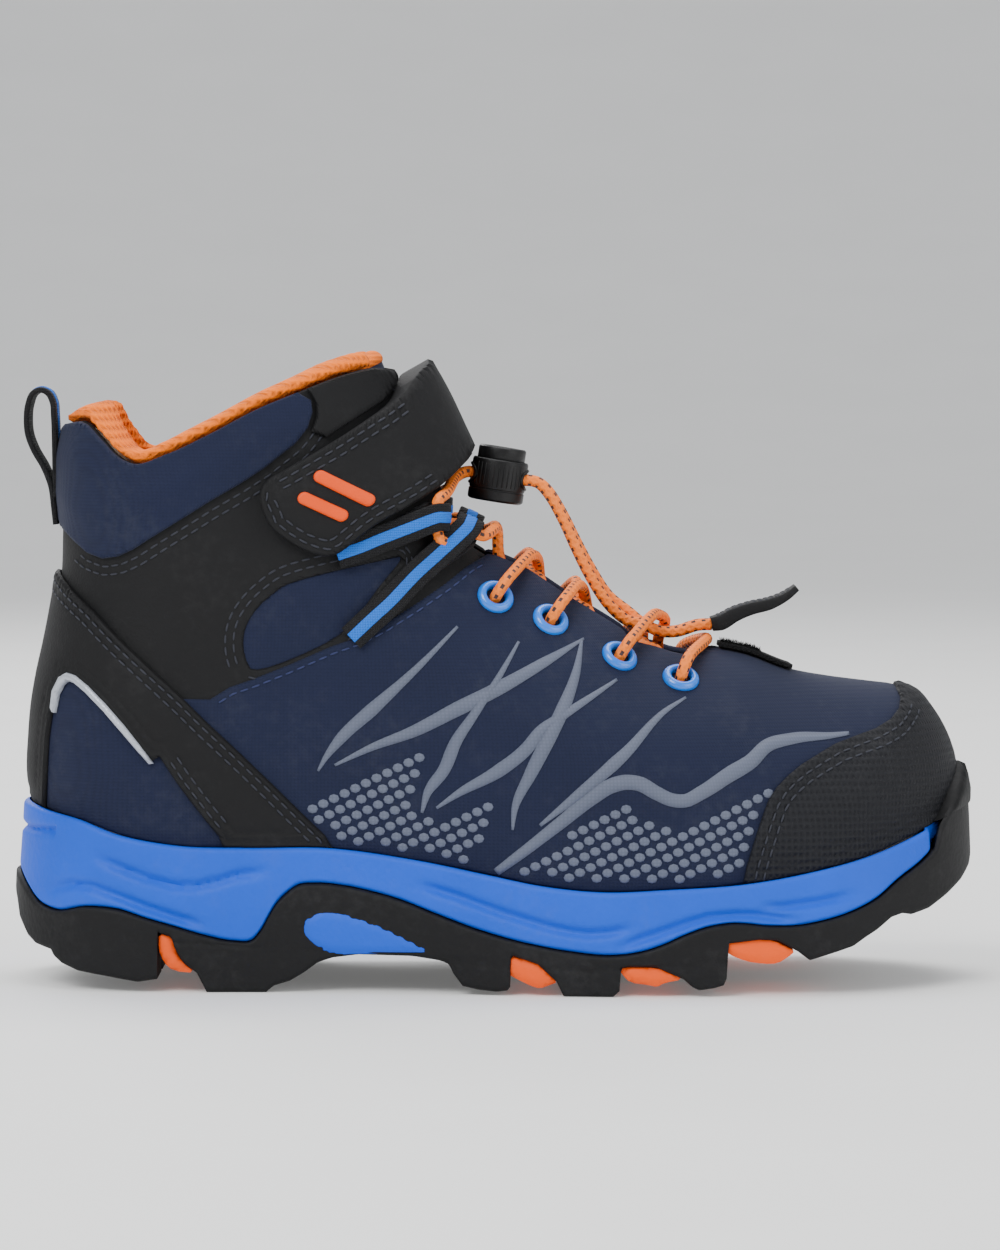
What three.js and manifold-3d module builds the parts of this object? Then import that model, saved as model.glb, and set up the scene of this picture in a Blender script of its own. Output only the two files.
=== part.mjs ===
// A right-foot mid-height hiking boot for a child: +X to the toe, +Y to the inner side, +Z up, in mm.
import * as THREE from "three";
import { mergeVertices } from "three/addons/utils/BufferGeometryUtils.js";
import Module from "manifold-3d";

const wasm = await Module();
wasm.setup();

// Driving sizes.
const lengthScale = 1; // along the foot
const widthScale = 1; // across the foot
const heightScale = 1; // up the shaft
const gap = 0.3; // between pieces that touch
const cordDiameter = 2.8;
const eyeletOuter = 9;
const eyeletHole = 5.2;
const baseThickness = 1.2; // vamp and quarter cloth
const overlayThickness = 1.2; // the pieces sewn over it
const collarPadding = 5.5;
const liningThickness = 1.1;
const strapThickness = 1.6;
const footRadius = 38; // how far in the sides turn over towards the ridge
const heelRadius = 31;
const cupDepth = 8; // how far the upper goes down inside the midsole
const soleFlare = 3; // midsole beyond the upper
const lockDiameter = 13.6;
const lockHeight = 10.3;
const buttonDiameter = 11.6;

// Side outlines, as [x, z] points.
const back = [
  [-112.8, 43], [-113.8, 50], [-113.5, 59], [-112.8, 67], [-111.6, 74], [-109.8, 82],
  [-108.2, 90], [-107, 97], [-106.4, 110], [-106, 120], [-105.8, 129], [-105.2, 134.7],
];
const front = [
  [110.8, 42], [111.2, 48], [110.4, 54], [108.4, 59.6], [105.2, 65], [101.4, 69.4], [97, 71.2],
  [90, 72.2], [80, 73.5], [71, 75.2], [60, 79.3], [50, 81.3], [42, 83.1], [35, 85.8], [29.4, 89.6],
  [22.6, 93.9], [12.1, 100.8], [4.2, 105.4], [-0.9, 109], [-6, 113.5], [-10, 120.5], [-14.5, 130],
  [-19, 139.5], [-23.5, 147.5],
];
const feather = [
  [-112.8, 43], [-107, 41.6], [-100, 40.2], [-90, 37], [-77, 34.6], [-60, 34], [-40, 34],
  [-20, 31.4], [-1, 28], [10, 25.8], [25, 24.4], [40, 25], [60, 26.5], [77, 29.6], [88, 32.5],
  [98.7, 36.5], [106, 39.6], [110.8, 42],
];
const collar = [
  [-105.2, 134.7], [-100, 135.6], [-95.3, 131.7], [-90.2, 127], [-87.2, 125.8], [-79.2, 128],
  [-68.9, 132.8], [-57, 139], [-46.7, 143.2], [-35.8, 147.1], [-29, 148.4], [-23.5, 147.5],
];
// Plan outline of the foot, as [x, y at the outer side, y at the inner side].
const plan = [
  [-116, -30.5, 30.5], [-80, -31.5, 31], [-50, -31.5, 29.5], [-20, -34.5, 28.5],
  [10, -39.5, 33], [30, -41.5, 37.5], [45, -41.5, 39.5], [60, -40, 40], [80, -37.5, 40.5],
  [95, -35, 39.5], [116, -32, 38],
];

function scaled(points) {
  return points.map(([x, z]) => [x * lengthScale, z * heightScale]);
}
const backLine = scaled(back);
const frontLine = scaled(front);
const featherLine = scaled(feather);
const collarLine = scaled(collar);

// A point at a fraction of a polyline's length.
function along(points, t) {
  const lengths = [0];
  for (let i = 1; i < points.length; i += 1) {
    const [a, b] = [points[i - 1], points[i]];
    lengths.push(lengths[i - 1] + Math.hypot(b[0] - a[0], b[1] - a[1]));
  }
  const want = THREE.MathUtils.clamp(t, 0, 1) * lengths[lengths.length - 1];
  let i = 1;
  while (i < points.length - 1 && lengths[i] < want) i += 1;
  const f = (want - lengths[i - 1]) / (lengths[i] - lengths[i - 1]);
  const [a, b] = [points[i - 1], points[i]];
  return [a[0] + (b[0] - a[0]) * f, a[1] + (b[1] - a[1]) * f];
}

// The height of a polyline at x, for outlines that run along x.
function heightAt(points, x) {
  let i = 1;
  while (i < points.length - 1 && points[i][0] < x) i += 1;
  const [a, b] = [points[i - 1], points[i]];
  const f = THREE.MathUtils.clamp((x - a[0]) / (b[0] - a[0]), 0, 1);
  return a[1] + (b[1] - a[1]) * f;
}

function distanceTo(points, x, z) {
  let best = 1e9;
  for (let i = 1; i < points.length; i += 1) {
    const [ax, az] = points[i - 1];
    const [dx, dz] = [points[i][0] - ax, points[i][1] - az];
    let f = ((x - ax) * dx + (z - az) * dz) / (dx * dx + dz * dz);
    f = THREE.MathUtils.clamp(f, 0, 1);
    best = Math.min(best, Math.hypot(x - ax - dx * f, z - az - dz * f));
  }
  return best;
}

// Centre and half width of the boot at a side-view point, before the edges turn over.
function spread(x, z) {
  let i = 1;
  const px = x / lengthScale;
  while (i < plan.length - 1 && plan[i][0] < px) i += 1;
  const [a, b] = [plan[i - 1], plan[i]];
  const f = THREE.MathUtils.clamp((px - a[0]) / (b[0] - a[0]), 0, 1);
  const outer = a[1] + (b[1] - a[1]) * f;
  const inner = a[2] + (b[2] - a[2]) * f;
  const up = THREE.MathUtils.smoothstep(z / heightScale, 55, 105);
  const shaft = 32 - 1.2 * THREE.MathUtils.smoothstep(z / heightScale, 105, 150);
  const centre = ((outer + inner) / 2) * (1 - up);
  const half = ((inner - outer) / 2) * (1 - up) + shaft * up;
  return [centre * widthScale, half * widthScale];
}

function turnOver(d, r) {
  const f = 1 - Math.min(d, r) / r;
  return Math.sqrt(Math.max(0, 1 - f * f));
}

// The boot's surface: round = 0 at the heel, 1 at the front, 2 at the heel again; rise = 0 at
// the feather edge and 1 at the collar, -1 the bottom of the upper inside the cup.
function side(round, rise) {
  const turn = ((round % 2) + 2) % 2;
  const u = turn <= 1 ? turn : 2 - turn;
  const t = (1 - Math.cos(Math.PI * u)) / 2;
  const v = THREE.MathUtils.clamp(rise, 0, 1);
  const c0 = along(featherLine, t);
  const c1 = along(collarLine, t);
  const b = along(backLine, v);
  const f = along(frontLine, v);
  const corner = [0, 1].map(
    (k) =>
      (1 - t) * ((1 - v) * featherLine[0][k] + v * collarLine[0][k]) +
      t * ((1 - v) * frontLine[0][k] + v * frontLine[frontLine.length - 1][k]),
  );
  let x = (1 - v) * c0[0] + v * c1[0] + (1 - t) * b[0] + t * f[0] - corner[0];
  let z = (1 - v) * c0[1] + v * c1[1] + (1 - t) * b[1] + t * f[1] - corner[1];
  const d = Math.min(
    turnOver(distanceTo(backLine, x, z), heelRadius),
    turnOver(distanceTo(frontLine, x, z), footRadius),
  );
  const [centre, half] = spread(x, z);
  const rounded = u <= 0 || u >= 1 ? 0 : d;
  let y = centre + (turn <= 1 ? -1 : 1) * half * rounded;
  if (rise < 0) z += rise * cupDepth;
  if (rise > 1) {
    x -= (rise - 1) * 15;
    z += (rise - 1) * 60;
  }
  return new THREE.Vector3(x, y, z);
}

// The surface moved out along its normal.
function skin(round, rise, out) {
  const p = side(round, rise);
  const e = 0.03;
  const across = side(round + e, rise).sub(side(round - e, rise));
  const low = Math.min(Math.max(rise - 0.05, 0), 0.9);
  const climb = side(round, low + 0.1).sub(side(round, low));
  const normal = across.cross(climb).normalize();
  if (rise < 0) {
    normal.z = 0;
    normal.normalize();
  }
  return p.addScaledVector(normal, out);
}

function toSolid(geometry) {
  const bare = geometry.clone();
  bare.deleteAttribute("normal");
  bare.deleteAttribute("uv");
  const merged = mergeVertices(bare, 1e-3);
  return new wasm.Manifold(
    new wasm.Mesh({
      numProp: 3,
      vertProperties: merged.attributes.position.array,
      triVerts: new Uint32Array(merged.index.array),
    }),
  );
}

function fromSolid(solid) {
  const mesh = solid.getMesh();
  const position = new Float32Array(mesh.numVert * 3);
  for (let i = 0; i < mesh.numVert; i += 1) {
    for (let k = 0; k < 3; k += 1) {
      position[i * 3 + k] = mesh.vertProperties[i * mesh.numProp + k];
    }
  }
  const geometry = new THREE.BufferGeometry();
  geometry.setAttribute("position", new THREE.BufferAttribute(position, 3));
  geometry.setIndex(new THREE.BufferAttribute(new Uint32Array(mesh.triVerts), 1));
  return geometry;
}

// Closed triangles from a grid of points: rows wrap if told to, columns always wrap. From
// column turnAt on, the squares are split the other way, so both faces of a shell match.
function gridSolid(rows, wrapRows, turnAt = 1e9) {
  const wide = rows[0].length;
  const position = rows.flat().flatMap((p) => [p.x, p.y, p.z]);
  const index = [];
  const last = wrapRows ? rows.length : rows.length - 1;
  for (let i = 0; i < last; i += 1) {
    const n = (i + 1) % rows.length;
    for (let j = 0; j < wide; j += 1) {
      const k = (j + 1) % wide;
      const [a, b, c, d] = [i * wide + j, n * wide + j, n * wide + k, i * wide + k];
      if (j < turnAt) index.push(a, b, c, a, c, d);
      else index.push(a, b, d, b, c, d);
    }
  }
  if (!wrapRows) {
    // The ends are closed with strips from the outer side to the inner side.
    const base = last * wide;
    for (let j = 0; j < wide / 2; j += 1) {
      const far = (wide - j) % wide;
      if (j > 0) {
        index.push(j, j + 1, far);
        index.push(base + j, base + far, base + j + 1);
      }
      if (j < wide / 2 - 1) {
        index.push(far, j + 1, wide - j - 1);
        index.push(base + far, base + wide - j - 1, base + j + 1);
      }
    }
  }
  const geometry = new THREE.BufferGeometry();
  geometry.setAttribute("position", new THREE.Float32BufferAttribute(position, 3));
  geometry.setIndex(index);
  const made = toSolid(geometry);
  if (made.volume() > 0) return made;
  for (let i = 0; i < index.length; i += 3) {
    [index[i + 1], index[i + 2]] = [index[i + 2], index[i + 1]];
  }
  geometry.setIndex(index);
  return toSolid(geometry);
}

// A ring round the whole boot whose cut is a loop of [rise, out] pairs.
function ring(section, steps) {
  const rings = [];
  const inward = section(0).findIndex(([rise], i, all) => i > 0 && rise <= all[i - 1][0]);
  for (let i = 0; i < steps; i += 1) {
    const round = (2 * i) / steps;
    rings.push(section(round).map(([rise, out]) => skin(round, rise, out)));
  }
  return gridSolid(rings, true, inward);
}

// Every layer uses the same rows and columns, so their facets lie parallel.
const around = 32;
const rows = [-1, 0.02, 0.11, 0.21, 0.32, 0.43, 0.54, 0.65, 0.76, 0.88, 0.985];

// A shell of even depth between two offsets, over some of the rows.
function shell(inner, outer, first = 0, last = rows.length) {
  const used = rows.slice(first, last);
  return ring(() => {
    const up = used.map((rise) => [rise, outer]);
    const down = used.map((rise) => [rise, inner]).reverse();
    return [...up, ...down];
  }, around);
}

// The whole inside of the boot out to an offset, up to a row.
function filled(out, last, drop = 0) {
  const rings = [];
  for (const level of rows.slice(0, last)) {
    const rise = level < 0 ? level - drop : level;
    const row = [];
    for (let i = 0; i < around; i += 1) row.push(skin((2 * i) / around, rise, out));
    rings.push(row);
  }
  return gridSolid(rings, false);
}

// A slab between two point functions of (s, t) in 0..1.
function slab(lower, upper, ns, nt) {
  const rows = [];
  for (let i = 0; i <= ns; i += 1) {
    const row = [];
    for (let j = 0; j <= nt; j += 1) row.push(upper(i / ns, j / nt));
    for (let j = nt; j >= 0; j -= 1) row.push(lower(i / ns, j / nt));
    rows.push(row);
  }
  const wide = 2 * (nt + 1);
  const position = rows.flat().flatMap((p) => [p.x, p.y, p.z]);
  const index = [];
  for (let i = 0; i < ns; i += 1) {
    for (let j = 0; j < wide; j += 1) {
      const k = (j + 1) % wide;
      index.push(i * wide + j, (i + 1) * wide + j, (i + 1) * wide + k);
      index.push(i * wide + j, (i + 1) * wide + k, i * wide + k);
    }
  }
  for (let j = 0; j < nt; j += 1) {
    const m = wide - 1 - j;
    index.push(j, j + 1, m - 1, j, m - 1, m);
    const b = ns * wide;
    index.push(b + j, b + m - 1, b + j + 1, b + j, b + m, b + m - 1);
  }
  const geometry = new THREE.BufferGeometry();
  geometry.setAttribute("position", new THREE.Float32BufferAttribute(position, 3));
  geometry.setIndex(index);
  const made = toSolid(geometry);
  if (made.volume() > 0) return made;
  for (let i = 0; i < index.length; i += 3) {
    [index[i + 1], index[i + 2]] = [index[i + 2], index[i + 1]];
  }
  geometry.setIndex(index);
  return toSolid(geometry);
}

function shapeOf(points) {
  return new THREE.Shape(points.map(([x, z]) => new THREE.Vector2(x, z)));
}

// A side outline pushed across the boot from y0 to y1.
function across(points, y0 = -90, y1 = 90, hole = null, scale = true) {
  const shape = shapeOf(scale ? scaled(points) : points);
  if (hole) shape.holes.push(shapeOf(scale ? scaled(hole) : hole));
  const geometry = new THREE.ExtrudeGeometry(shape, { depth: y1 - y0, bevelEnabled: false });
  geometry.rotateX(Math.PI / 2);
  geometry.translate(0, y1, 0);
  return toSolid(geometry);
}

function moved(points, dx, dz) {
  return points.map(([x, z]) => [x + dx, z + dz]);
}

// A round tube along a smooth curve through points.
function tube(points, diameter, steps, sides = 8) {
  const curve = new THREE.CatmullRomCurve3(points, false, "centripetal");
  const shape = new THREE.Shape();
  for (let i = 0; i <= sides; i += 1) {
    const a = (2 * Math.PI * i) / sides;
    const [x, y] = [(Math.cos(a) * diameter) / 2, (Math.sin(a) * diameter) / 2];
    if (i === 0) shape.moveTo(x, y);
    else shape.lineTo(x, y);
  }
  return toSolid(new THREE.ExtrudeGeometry(shape, { steps, extrudePath: curve }));
}

// A turned piece about its own z axis, from [radius, z] points starting and ending on the axis.
function turned(profile, sides = 24) {
  const points = profile.map(([r, z]) => new THREE.Vector2(r, z));
  const geometry = new THREE.LatheGeometry(points, sides);
  geometry.rotateX(Math.PI / 2);
  const made = toSolid(geometry);
  if (made.volume() > 0) return made;
  const flipped = new THREE.LatheGeometry(points.reverse(), sides);
  flipped.rotateX(Math.PI / 2);
  return toSolid(flipped);
}

function placed(solid, matrix) {
  return solid.transform(matrix.elements);
}

// A point over the ridge: how far up the front line, how far across, how far out.
function crest(rise, y, out) {
  const [x, z] = along(frontLine, rise);
  const a = along(frontLine, rise - 0.01);
  const b = along(frontLine, rise + 0.01);
  const run = Math.hypot(b[0] - a[0], b[1] - a[1]);
  const [nx, nz] = [(b[1] - a[1]) / run, -(b[0] - a[0]) / run];
  const [centre, half] = spread(x - nx * 6, z - nz * 6);
  const s = THREE.MathUtils.clamp(y / half, -0.98, 0.98);
  const c = Math.sqrt(1 - s * s);
  const drop = footRadius * (1 - c);
  const lean = new THREE.Vector2(c / footRadius, s / half).normalize();
  const h = out * lean.x - drop;
  return new THREE.Vector3(x + nx * h, centre + y + out * lean.y, z + nz * h);
}
// How far up the front line an x lies, for the part from the vamp to the ankle.
function riseOf(x) {
  let low = 0.2;
  let high = 0.98;
  for (let i = 0; i < 30; i += 1) {
    const mid = (low + high) / 2;
    if (along(frontLine, mid)[0] > x * lengthScale) low = mid;
    else high = mid;
  }
  return (low + high) / 2;
}

// The surface point seen at x, z from one side, and its normal.
function surfaceAt(x, z, hand) {
  let best = [0.5, 0.5, 1e9];
  const look = (u, v) => {
    const p = side(hand < 0 ? u : 2 - u, v);
    return Math.hypot(p.x - x * lengthScale, p.z - z * heightScale);
  };
  for (let i = 1; i < 40; i += 1) {
    for (let j = 0; j <= 20; j += 1) {
      const away = look(i / 40, j / 20);
      if (away < best[2]) best = [i / 40, j / 20, away];
    }
  }
  for (let step = 0.02; step > 1e-5; step /= 2) {
    for (const [du, dv] of [[1, 0], [-1, 0], [0, 1], [0, -1], [1, 1], [-1, -1], [1, -1], [-1, 1]]) {
      const [u, v] = [best[0] + du * step, best[1] + dv * step];
      const away = look(u, v);
      if (away < best[2]) best = [u, v, away];
    }
  }
  const round = hand < 0 ? best[0] : 2 - best[0];
  const at = skin(round, best[1], 0);
  return { at, up: skin(round, best[1], 1).sub(at).normalize() };
}

const root = new THREE.Group();
root.name = "hiking_boot";
const solids = {};
function add(name, solid, colour, roughness = 0.8) {
  let best = solid;
  const bodies = solid.decompose();
  if (bodies.length > 1) {
    bodies.sort((a, b) => b.volume() - a.volume());
    best = bodies[0];
  }
  const material = new THREE.MeshStandardMaterial({ color: colour, roughness });
  const mesh = new THREE.Mesh(fromSolid(best), material);
  mesh.name = name;
  root.add(mesh);
  solids[name] = best;
}

const navy = 0x20263f;
const black = 0x1e1e21;
const blue = 0x266ecd;
const orange = 0xf07d32;
const silver = 0xaaafb9;

// Sole: side outlines cut from a flared body that follows the feather edge.
const midTop = [
  [-114.6, 44], [-107, 42], [-100, 40.6], [-90, 37.1], [-77, 34.8], [-60, 34.2], [-40, 34.2],
  [-20, 31.7], [-1.3, 28.2], [10, 26], [25, 24.6], [40, 25.2], [60, 26.6], [77.3, 29.8],
  [88, 32.7], [98.7, 36.7], [103.5, 38.9],
];
const midBottom = [
  [101.9, 33.1], [98.7, 30.4], [93.3, 26.7], [88, 22.4], [82.7, 19.7], [77.3, 17.9], [64, 16.6],
  [54.7, 17.3], [49.3, 16.5], [44, 14.6], [38.7, 12.2], [33.3, 10.5], [28, 9.8], [17.3, 10.6],
  [6.7, 12.5], [-4, 15.4], [-14.7, 19.2], [-23.3, 22.4], [-33, 25], [-43.3, 26], [-50, 23.9],
  [-54.4, 18.5], [-58.7, 12.4], [-63.4, 12.2], [-76.8, 15.5], [-90, 19.7], [-96.8, 20],
  [-103.5, 18.7], [-106.9, 19.9], [-112.9, 27.6],
];
const midBack = [[-114.2, 31.2], [-114.3, 35], [-113.4, 37.4], [-114.9, 40]];
const tread = [
  [-112.9, 27.2], [-113.2, 23.5], [-111.8, 18], [-109.2, 11.5], [-104, 9], [-101.5, 6],
  [-98.2, 4.6], [-92.2, 3.7], [-85.5, 2.5], [-81.3, 3.1], [-81.3, 9.5], [-81.2, 14.6],
  [-77.4, 13.5], [-76.7, 10.2], [-75, 7.5], [-71.7, 4.8], [-69.6, 0], [-55.2, 0], [-53.4, 1.4],
  [-49.4, 2.8], [-42.7, 7.2], [-39.2, 8.2], [-33, 8.8], [-20, 8.6], [-10.9, 7.2], [-7.7, 2.1],
  [0.3, 0.8], [4, 1.2], [-1.4, 7.4], [-1.5, 10.4], [1.3, 10.6], [9.9, 8], [14.6, 3.4],
  [16, 0], [27.5, 0], [29.4, 1.2], [30.9, 2.6], [28.6, 5.4], [28.4, 7.1], [31.2, 7.6],
  [37.6, 7.3], [43.9, 4.6], [47.2, 1.6], [55.7, 3.4], [58.6, 7.6], [54.2, 9.6], [51.9, 12.5],
  [56, 13.6], [65.6, 13.6], [70.7, 11], [73.3, 8.4], [82.7, 11.5], [91.2, 17.9], [96, 18.2],
  [104, 21.9], [109.9, 27.5], [112.3, 35.2], [122, 42], [122, 57.4], [110.8, 57.4],
  [111.5, 53.3], [109.8, 50.1], [107.5, 46.4], [105.4, 42.1], [103.8, 38.8], [102.2, 32.8],
];
const inserts = [
  [[-80.9, 14.2], [-77.8, 13.2], [-77.1, 10.2], [-75.4, 7.2], [-72.4, 4.9], [-77.4, 5.1], [-80.9, 7.2]],
  [[-1, 9.8], [1.3, 10.1], [9.9, 7.4], [14, 3.4], [9.9, 1.8], [7.7, 2.4], [4.2, 1.7], [-1, 7.7]],
  [[28.9, 6.6], [31.2, 7.1], [37.6, 6.8], [43.4, 4.4], [38, 2.6], [31.3, 2.9], [29.1, 5.6]],
  [[52.5, 12.3], [56, 13.1], [65.6, 13.1], [70.2, 10.6], [66.1, 7.9], [59, 8], [54.5, 10]],
];
const archWindow = [
  [-45.4, 16.5], [-41.4, 19], [-36.7, 18.3], [-30, 16], [-20, 11.6], [-27, 10.4], [-39, 10.2],
  [-44.4, 12.5],
];

// A flared body round the feather edge: [z, how far beyond the upper].
function soleBody(levels, steps) {
  const rings = levels.map(([z, out]) => {
    const row = [];
    for (let i = 0; i < steps; i += 1) {
      const p = skin((2 * i) / steps, -0.5, out);
      row.push(new THREE.Vector3(p.x, p.y, z));
    }
    return row;
  });
  return gridSolid(rings, false);
}

const cupCut = filled(overlayThickness + gap, 6, 0.05);
const midBody = soleBody([[-2, soleFlare + 2], [20, soleFlare + 1.4], [70, soleFlare - 0.9]], around);
const rubberBody = soleBody([[-2, soleFlare + 2.4], [20, soleFlare + 2], [70, soleFlare - 0.6]], around);

let midsole = midBody.intersect(across([...midBack, ...midTop.slice(0), ...midBottom]));
midsole = midsole.subtract(cupCut);
add("midsole", midsole, blue);

const rubberTop = moved([...midBottom], 0, -gap);
let outsole = rubberBody.intersect(across([...tread, ...rubberTop.slice(1, -1)]));
outsole = outsole.subtract(cupCut);
const windowOpen = across(archWindow);
const core = soleBody([[-2, -4], [70, -4]], 32);
outsole = outsole.subtract(windowOpen.subtract(core));
for (const y of [-17, 17]) {
  const low = [[-96, -1], [86, -1], [86, 8], [40, 4.2], [-60, 4.2], [-96, 6]];
  outsole = outsole.subtract(across(low, y - 2, y + 2));
}
add("outsole", outsole, 0x17181d, 0.9);

const windowFill = [
  [-44.8, 16.1], [-41.2, 18.4], [-36.7, 17.7], [-30.2, 15.5], [-21.2, 11.6], [-27, 10.8],
  [-38.8, 10.6], [-43.9, 12.7],
];
const windowBody = soleBody([[-2, 1.8], [70, 1.8]], 32);
const windowCore = soleBody([[-2, -3.6], [70, -3.6]], 32);
for (const [name, y0, y1] of [["lateral", -90, 0], ["medial", 0, 90]]) {
  const plug = across(windowFill, y0, y1).intersect(windowBody).subtract(windowCore);
  add("arch_window_" + name, plug, blue);
}
inserts.forEach((outline, i) => {
  const body = soleBody([[-2, soleFlare + 1.9], [40, soleFlare + 1.5]], 32);
  add("tread_insert_" + (i + 1), across(outline).intersect(body), 0xe15f2d);
});

// Inside the cup: board, shank and insole.
function strip(low, high, x0, x1) {
  const xs = [];
  for (let x = x0; x <= x1; x += (x1 - x0) / 14) xs.push(x);
  const lower = xs.map((x) => [x, heightAt(feather, x) + low]);
  const upper = xs.map((x) => [x, heightAt(feather, x) + high]).reverse();
  return [...lower, ...upper];
}
const boardFill = filled(-5.1, 5);
add("insole_board", boardFill.intersect(across(strip(-7.5, -6.2, -111, 109))), 0xb9a27a);
const insole = filled(-5.3, 6).intersect(across(strip(-5.9, -1.6, -110, 108)));
add("insole", insole, 0x2b2c31);

// Upper: curves shared by neighbouring panels.
const throat = [
  [46.7, 79.4], [42, 80.4], [38, 81.7], [33.3, 82.9], [30, 85.9], [27.2, 87.7], [21.9, 90.9],
  [16.6, 94.1], [11.2, 97.8], [3.3, 102.1], [-0.5, 103.7],
];
const vampTop = [
  [-2.1, 104], [-7.3, 101.5], [-12.7, 97.3], [-19.9, 92.5], [-27.6, 87.7], [-40, 82.4],
  [-50, 78], [-58.7, 74.5], [-64, 72.7], [-68.9, 69.7],
];
const bandUpper = [
  [-120, 111], [-106.8, 99.4], [-102.6, 95.1], [-96.7, 90.3], [-82.8, 77], [-69.4, 64.1],
  [-53.4, 48.9], [-46.7, 42.3], [-41.3, 37.2], [-36, 20],
];
const bandLower = [
  [-62, 20], [-65.7, 34.2], [-70, 40.9], [-73.4, 45.3], [-80.8, 56], [-85.5, 58.2], [-89.2, 63],
  [-93.5, 67.9], [-97.8, 72.1], [-101, 74.5], [-103, 75], [-104.7, 73.7], [-106.2, 70.5],
  [-107.8, 62], [-108.7, 50], [-109.2, 20], [-125, 20],
];
const baseShell = shell(-0.45 - baseThickness, -0.45);
const overShell = shell(0.05, overlayThickness);

// Navy base: below the vamp edge and throat, ahead of the middle of the heel band.
const behindBand = [[-82, 70], [-69, 57.5], [-57, 46], [-50, 20]];
const vampOutline = [...behindBand, [125, 20], [125, 90], [48, 90], ...throat, ...vampTop];
let vamp = baseShell.intersect(across(vampOutline));
// Black quarter above it, up to the collar, back to the heel; open down the front.
const shaftFront = [
  [-9, 108], [-13.5, 119.5], [-18, 129.5], [-22, 138], [-25.5, 145], [-26.5, 160],
];
const quarterOutline = [
  [-130, 160], [-130, 90], [-105, 84], [-82.3, 70.4], ...moved([...vampTop].reverse().slice(1), -0.2, 0.35),
  ...shaftFront,
];
const heelBase = [[-130, 10], [-50.6, 10], [-50.6, 20], [-57.6, 45.9], [-69.6, 57.4], [-82.6, 69.9], [-105.2, 83.4], [-130, 89.4]];
const inset = [
  [-58.2, 75.6], [-60.3, 79.1], [-60.9, 83.4], [-60.1, 87.6], [-57.1, 91.9], [-50.2, 97.3],
  [-39.3, 100.2], [-26, 103.2], [-21.7, 104.2], [-28.7, 96.2], [-34, 88.6], [-40.2, 83.1],
];
const insetCentre = [-42, 91];
function grown(points, amount) {
  return points.map(([x, z]) => {
    const run = Math.hypot(x - insetCentre[0], z - insetCentre[1]);
    const f = 1 + amount / run;
    return [insetCentre[0] + (x - insetCentre[0]) * f, insetCentre[1] + (z - insetCentre[1]) * f];
  });
}

// Eyelet centres in the side view.
const eyeletPlaces = [[-0.7, 93.7], [12.5, 88.2], [29, 79.4], [43.7, 74.2]];
function eyeletFrame(i, hand) {
  const { at, up } = surfaceAt(eyeletPlaces[i][0], eyeletPlaces[i][1], hand);
  const turn = new THREE.Quaternion().setFromUnitVectors(new THREE.Vector3(0, 0, 1), up);
  return { at, up, matrix: new THREE.Matrix4().compose(at, turn, new THREE.Vector3(1, 1, 1)) };
}
const hands = [["lateral", -1], ["medial", 1]];
const eyeletRing = turned([
  [eyeletHole / 2, -2.2], [eyeletHole / 2 + 0.5, -2.2], [eyeletHole / 2 + 0.5, 0.4],
  [eyeletOuter / 2, 0.4], [eyeletOuter / 2 - 0.2, 0.9], [eyeletOuter / 2 - 1.1, 1.5],
  [eyeletHole / 2, 0.9], [eyeletHole / 2, -2.2],
], 12);
const eyeletBore = turned([[0, -6], [eyeletHole / 2 + 0.9, -6], [eyeletHole / 2 + 0.9, 6], [0, 6]], 12);
for (const [name, hand] of hands) {
  for (let i = 0; i < 4; i += 1) {
    const frame = eyeletFrame(i, hand);
    vamp = vamp.subtract(placed(eyeletBore, frame.matrix));
    add("eyelet_" + name + "_" + (i + 1), placed(eyeletRing, frame.matrix), 0x2d96e1, 0.35);
  }
}
add("vamp", vamp, navy);

const behind = [[-130, 150], [-130, 20], [-40, 20], [-40, 150]];
for (const [name, hand] of hands) {
  const [y0, y1] = hand < 0 ? [-90, -0.15] : [0.15, 90];
  const half = baseShell.intersect(across(quarterOutline, y0, y1));
  add("quarter_" + name, half.subtract(across(grown(inset, 0.35), y0, y1)), black);
  add("ankle_inset_" + name, baseShell.intersect(across(inset, y0, y1)), navy);
}
add("heel_side", baseShell.intersect(across(heelBase)), navy);
const bandOutline = [...bandUpper, ...bandLower];

// Toe cap over the vamp.
const toeCapEdge = [
  [58.1, 20], [58.9, 30.4], [60.5, 35.7], [62.4, 41.6], [66.1, 49.1], [72, 54.1], [80.5, 58.7],
  [90.7, 61.6], [96, 63.2], [101.3, 67.7], [102.4, 69.9], [100, 76], [112, 76], [112, 57.6],
  [111.9, 53], [110.3, 49.8], [108, 46], [105.9, 42], [104.4, 38.7], [102.6, 31], [102, 20],
];
add("toe_cap", overShell.intersect(across(toeCapEdge)), 0x22242c);


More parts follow.
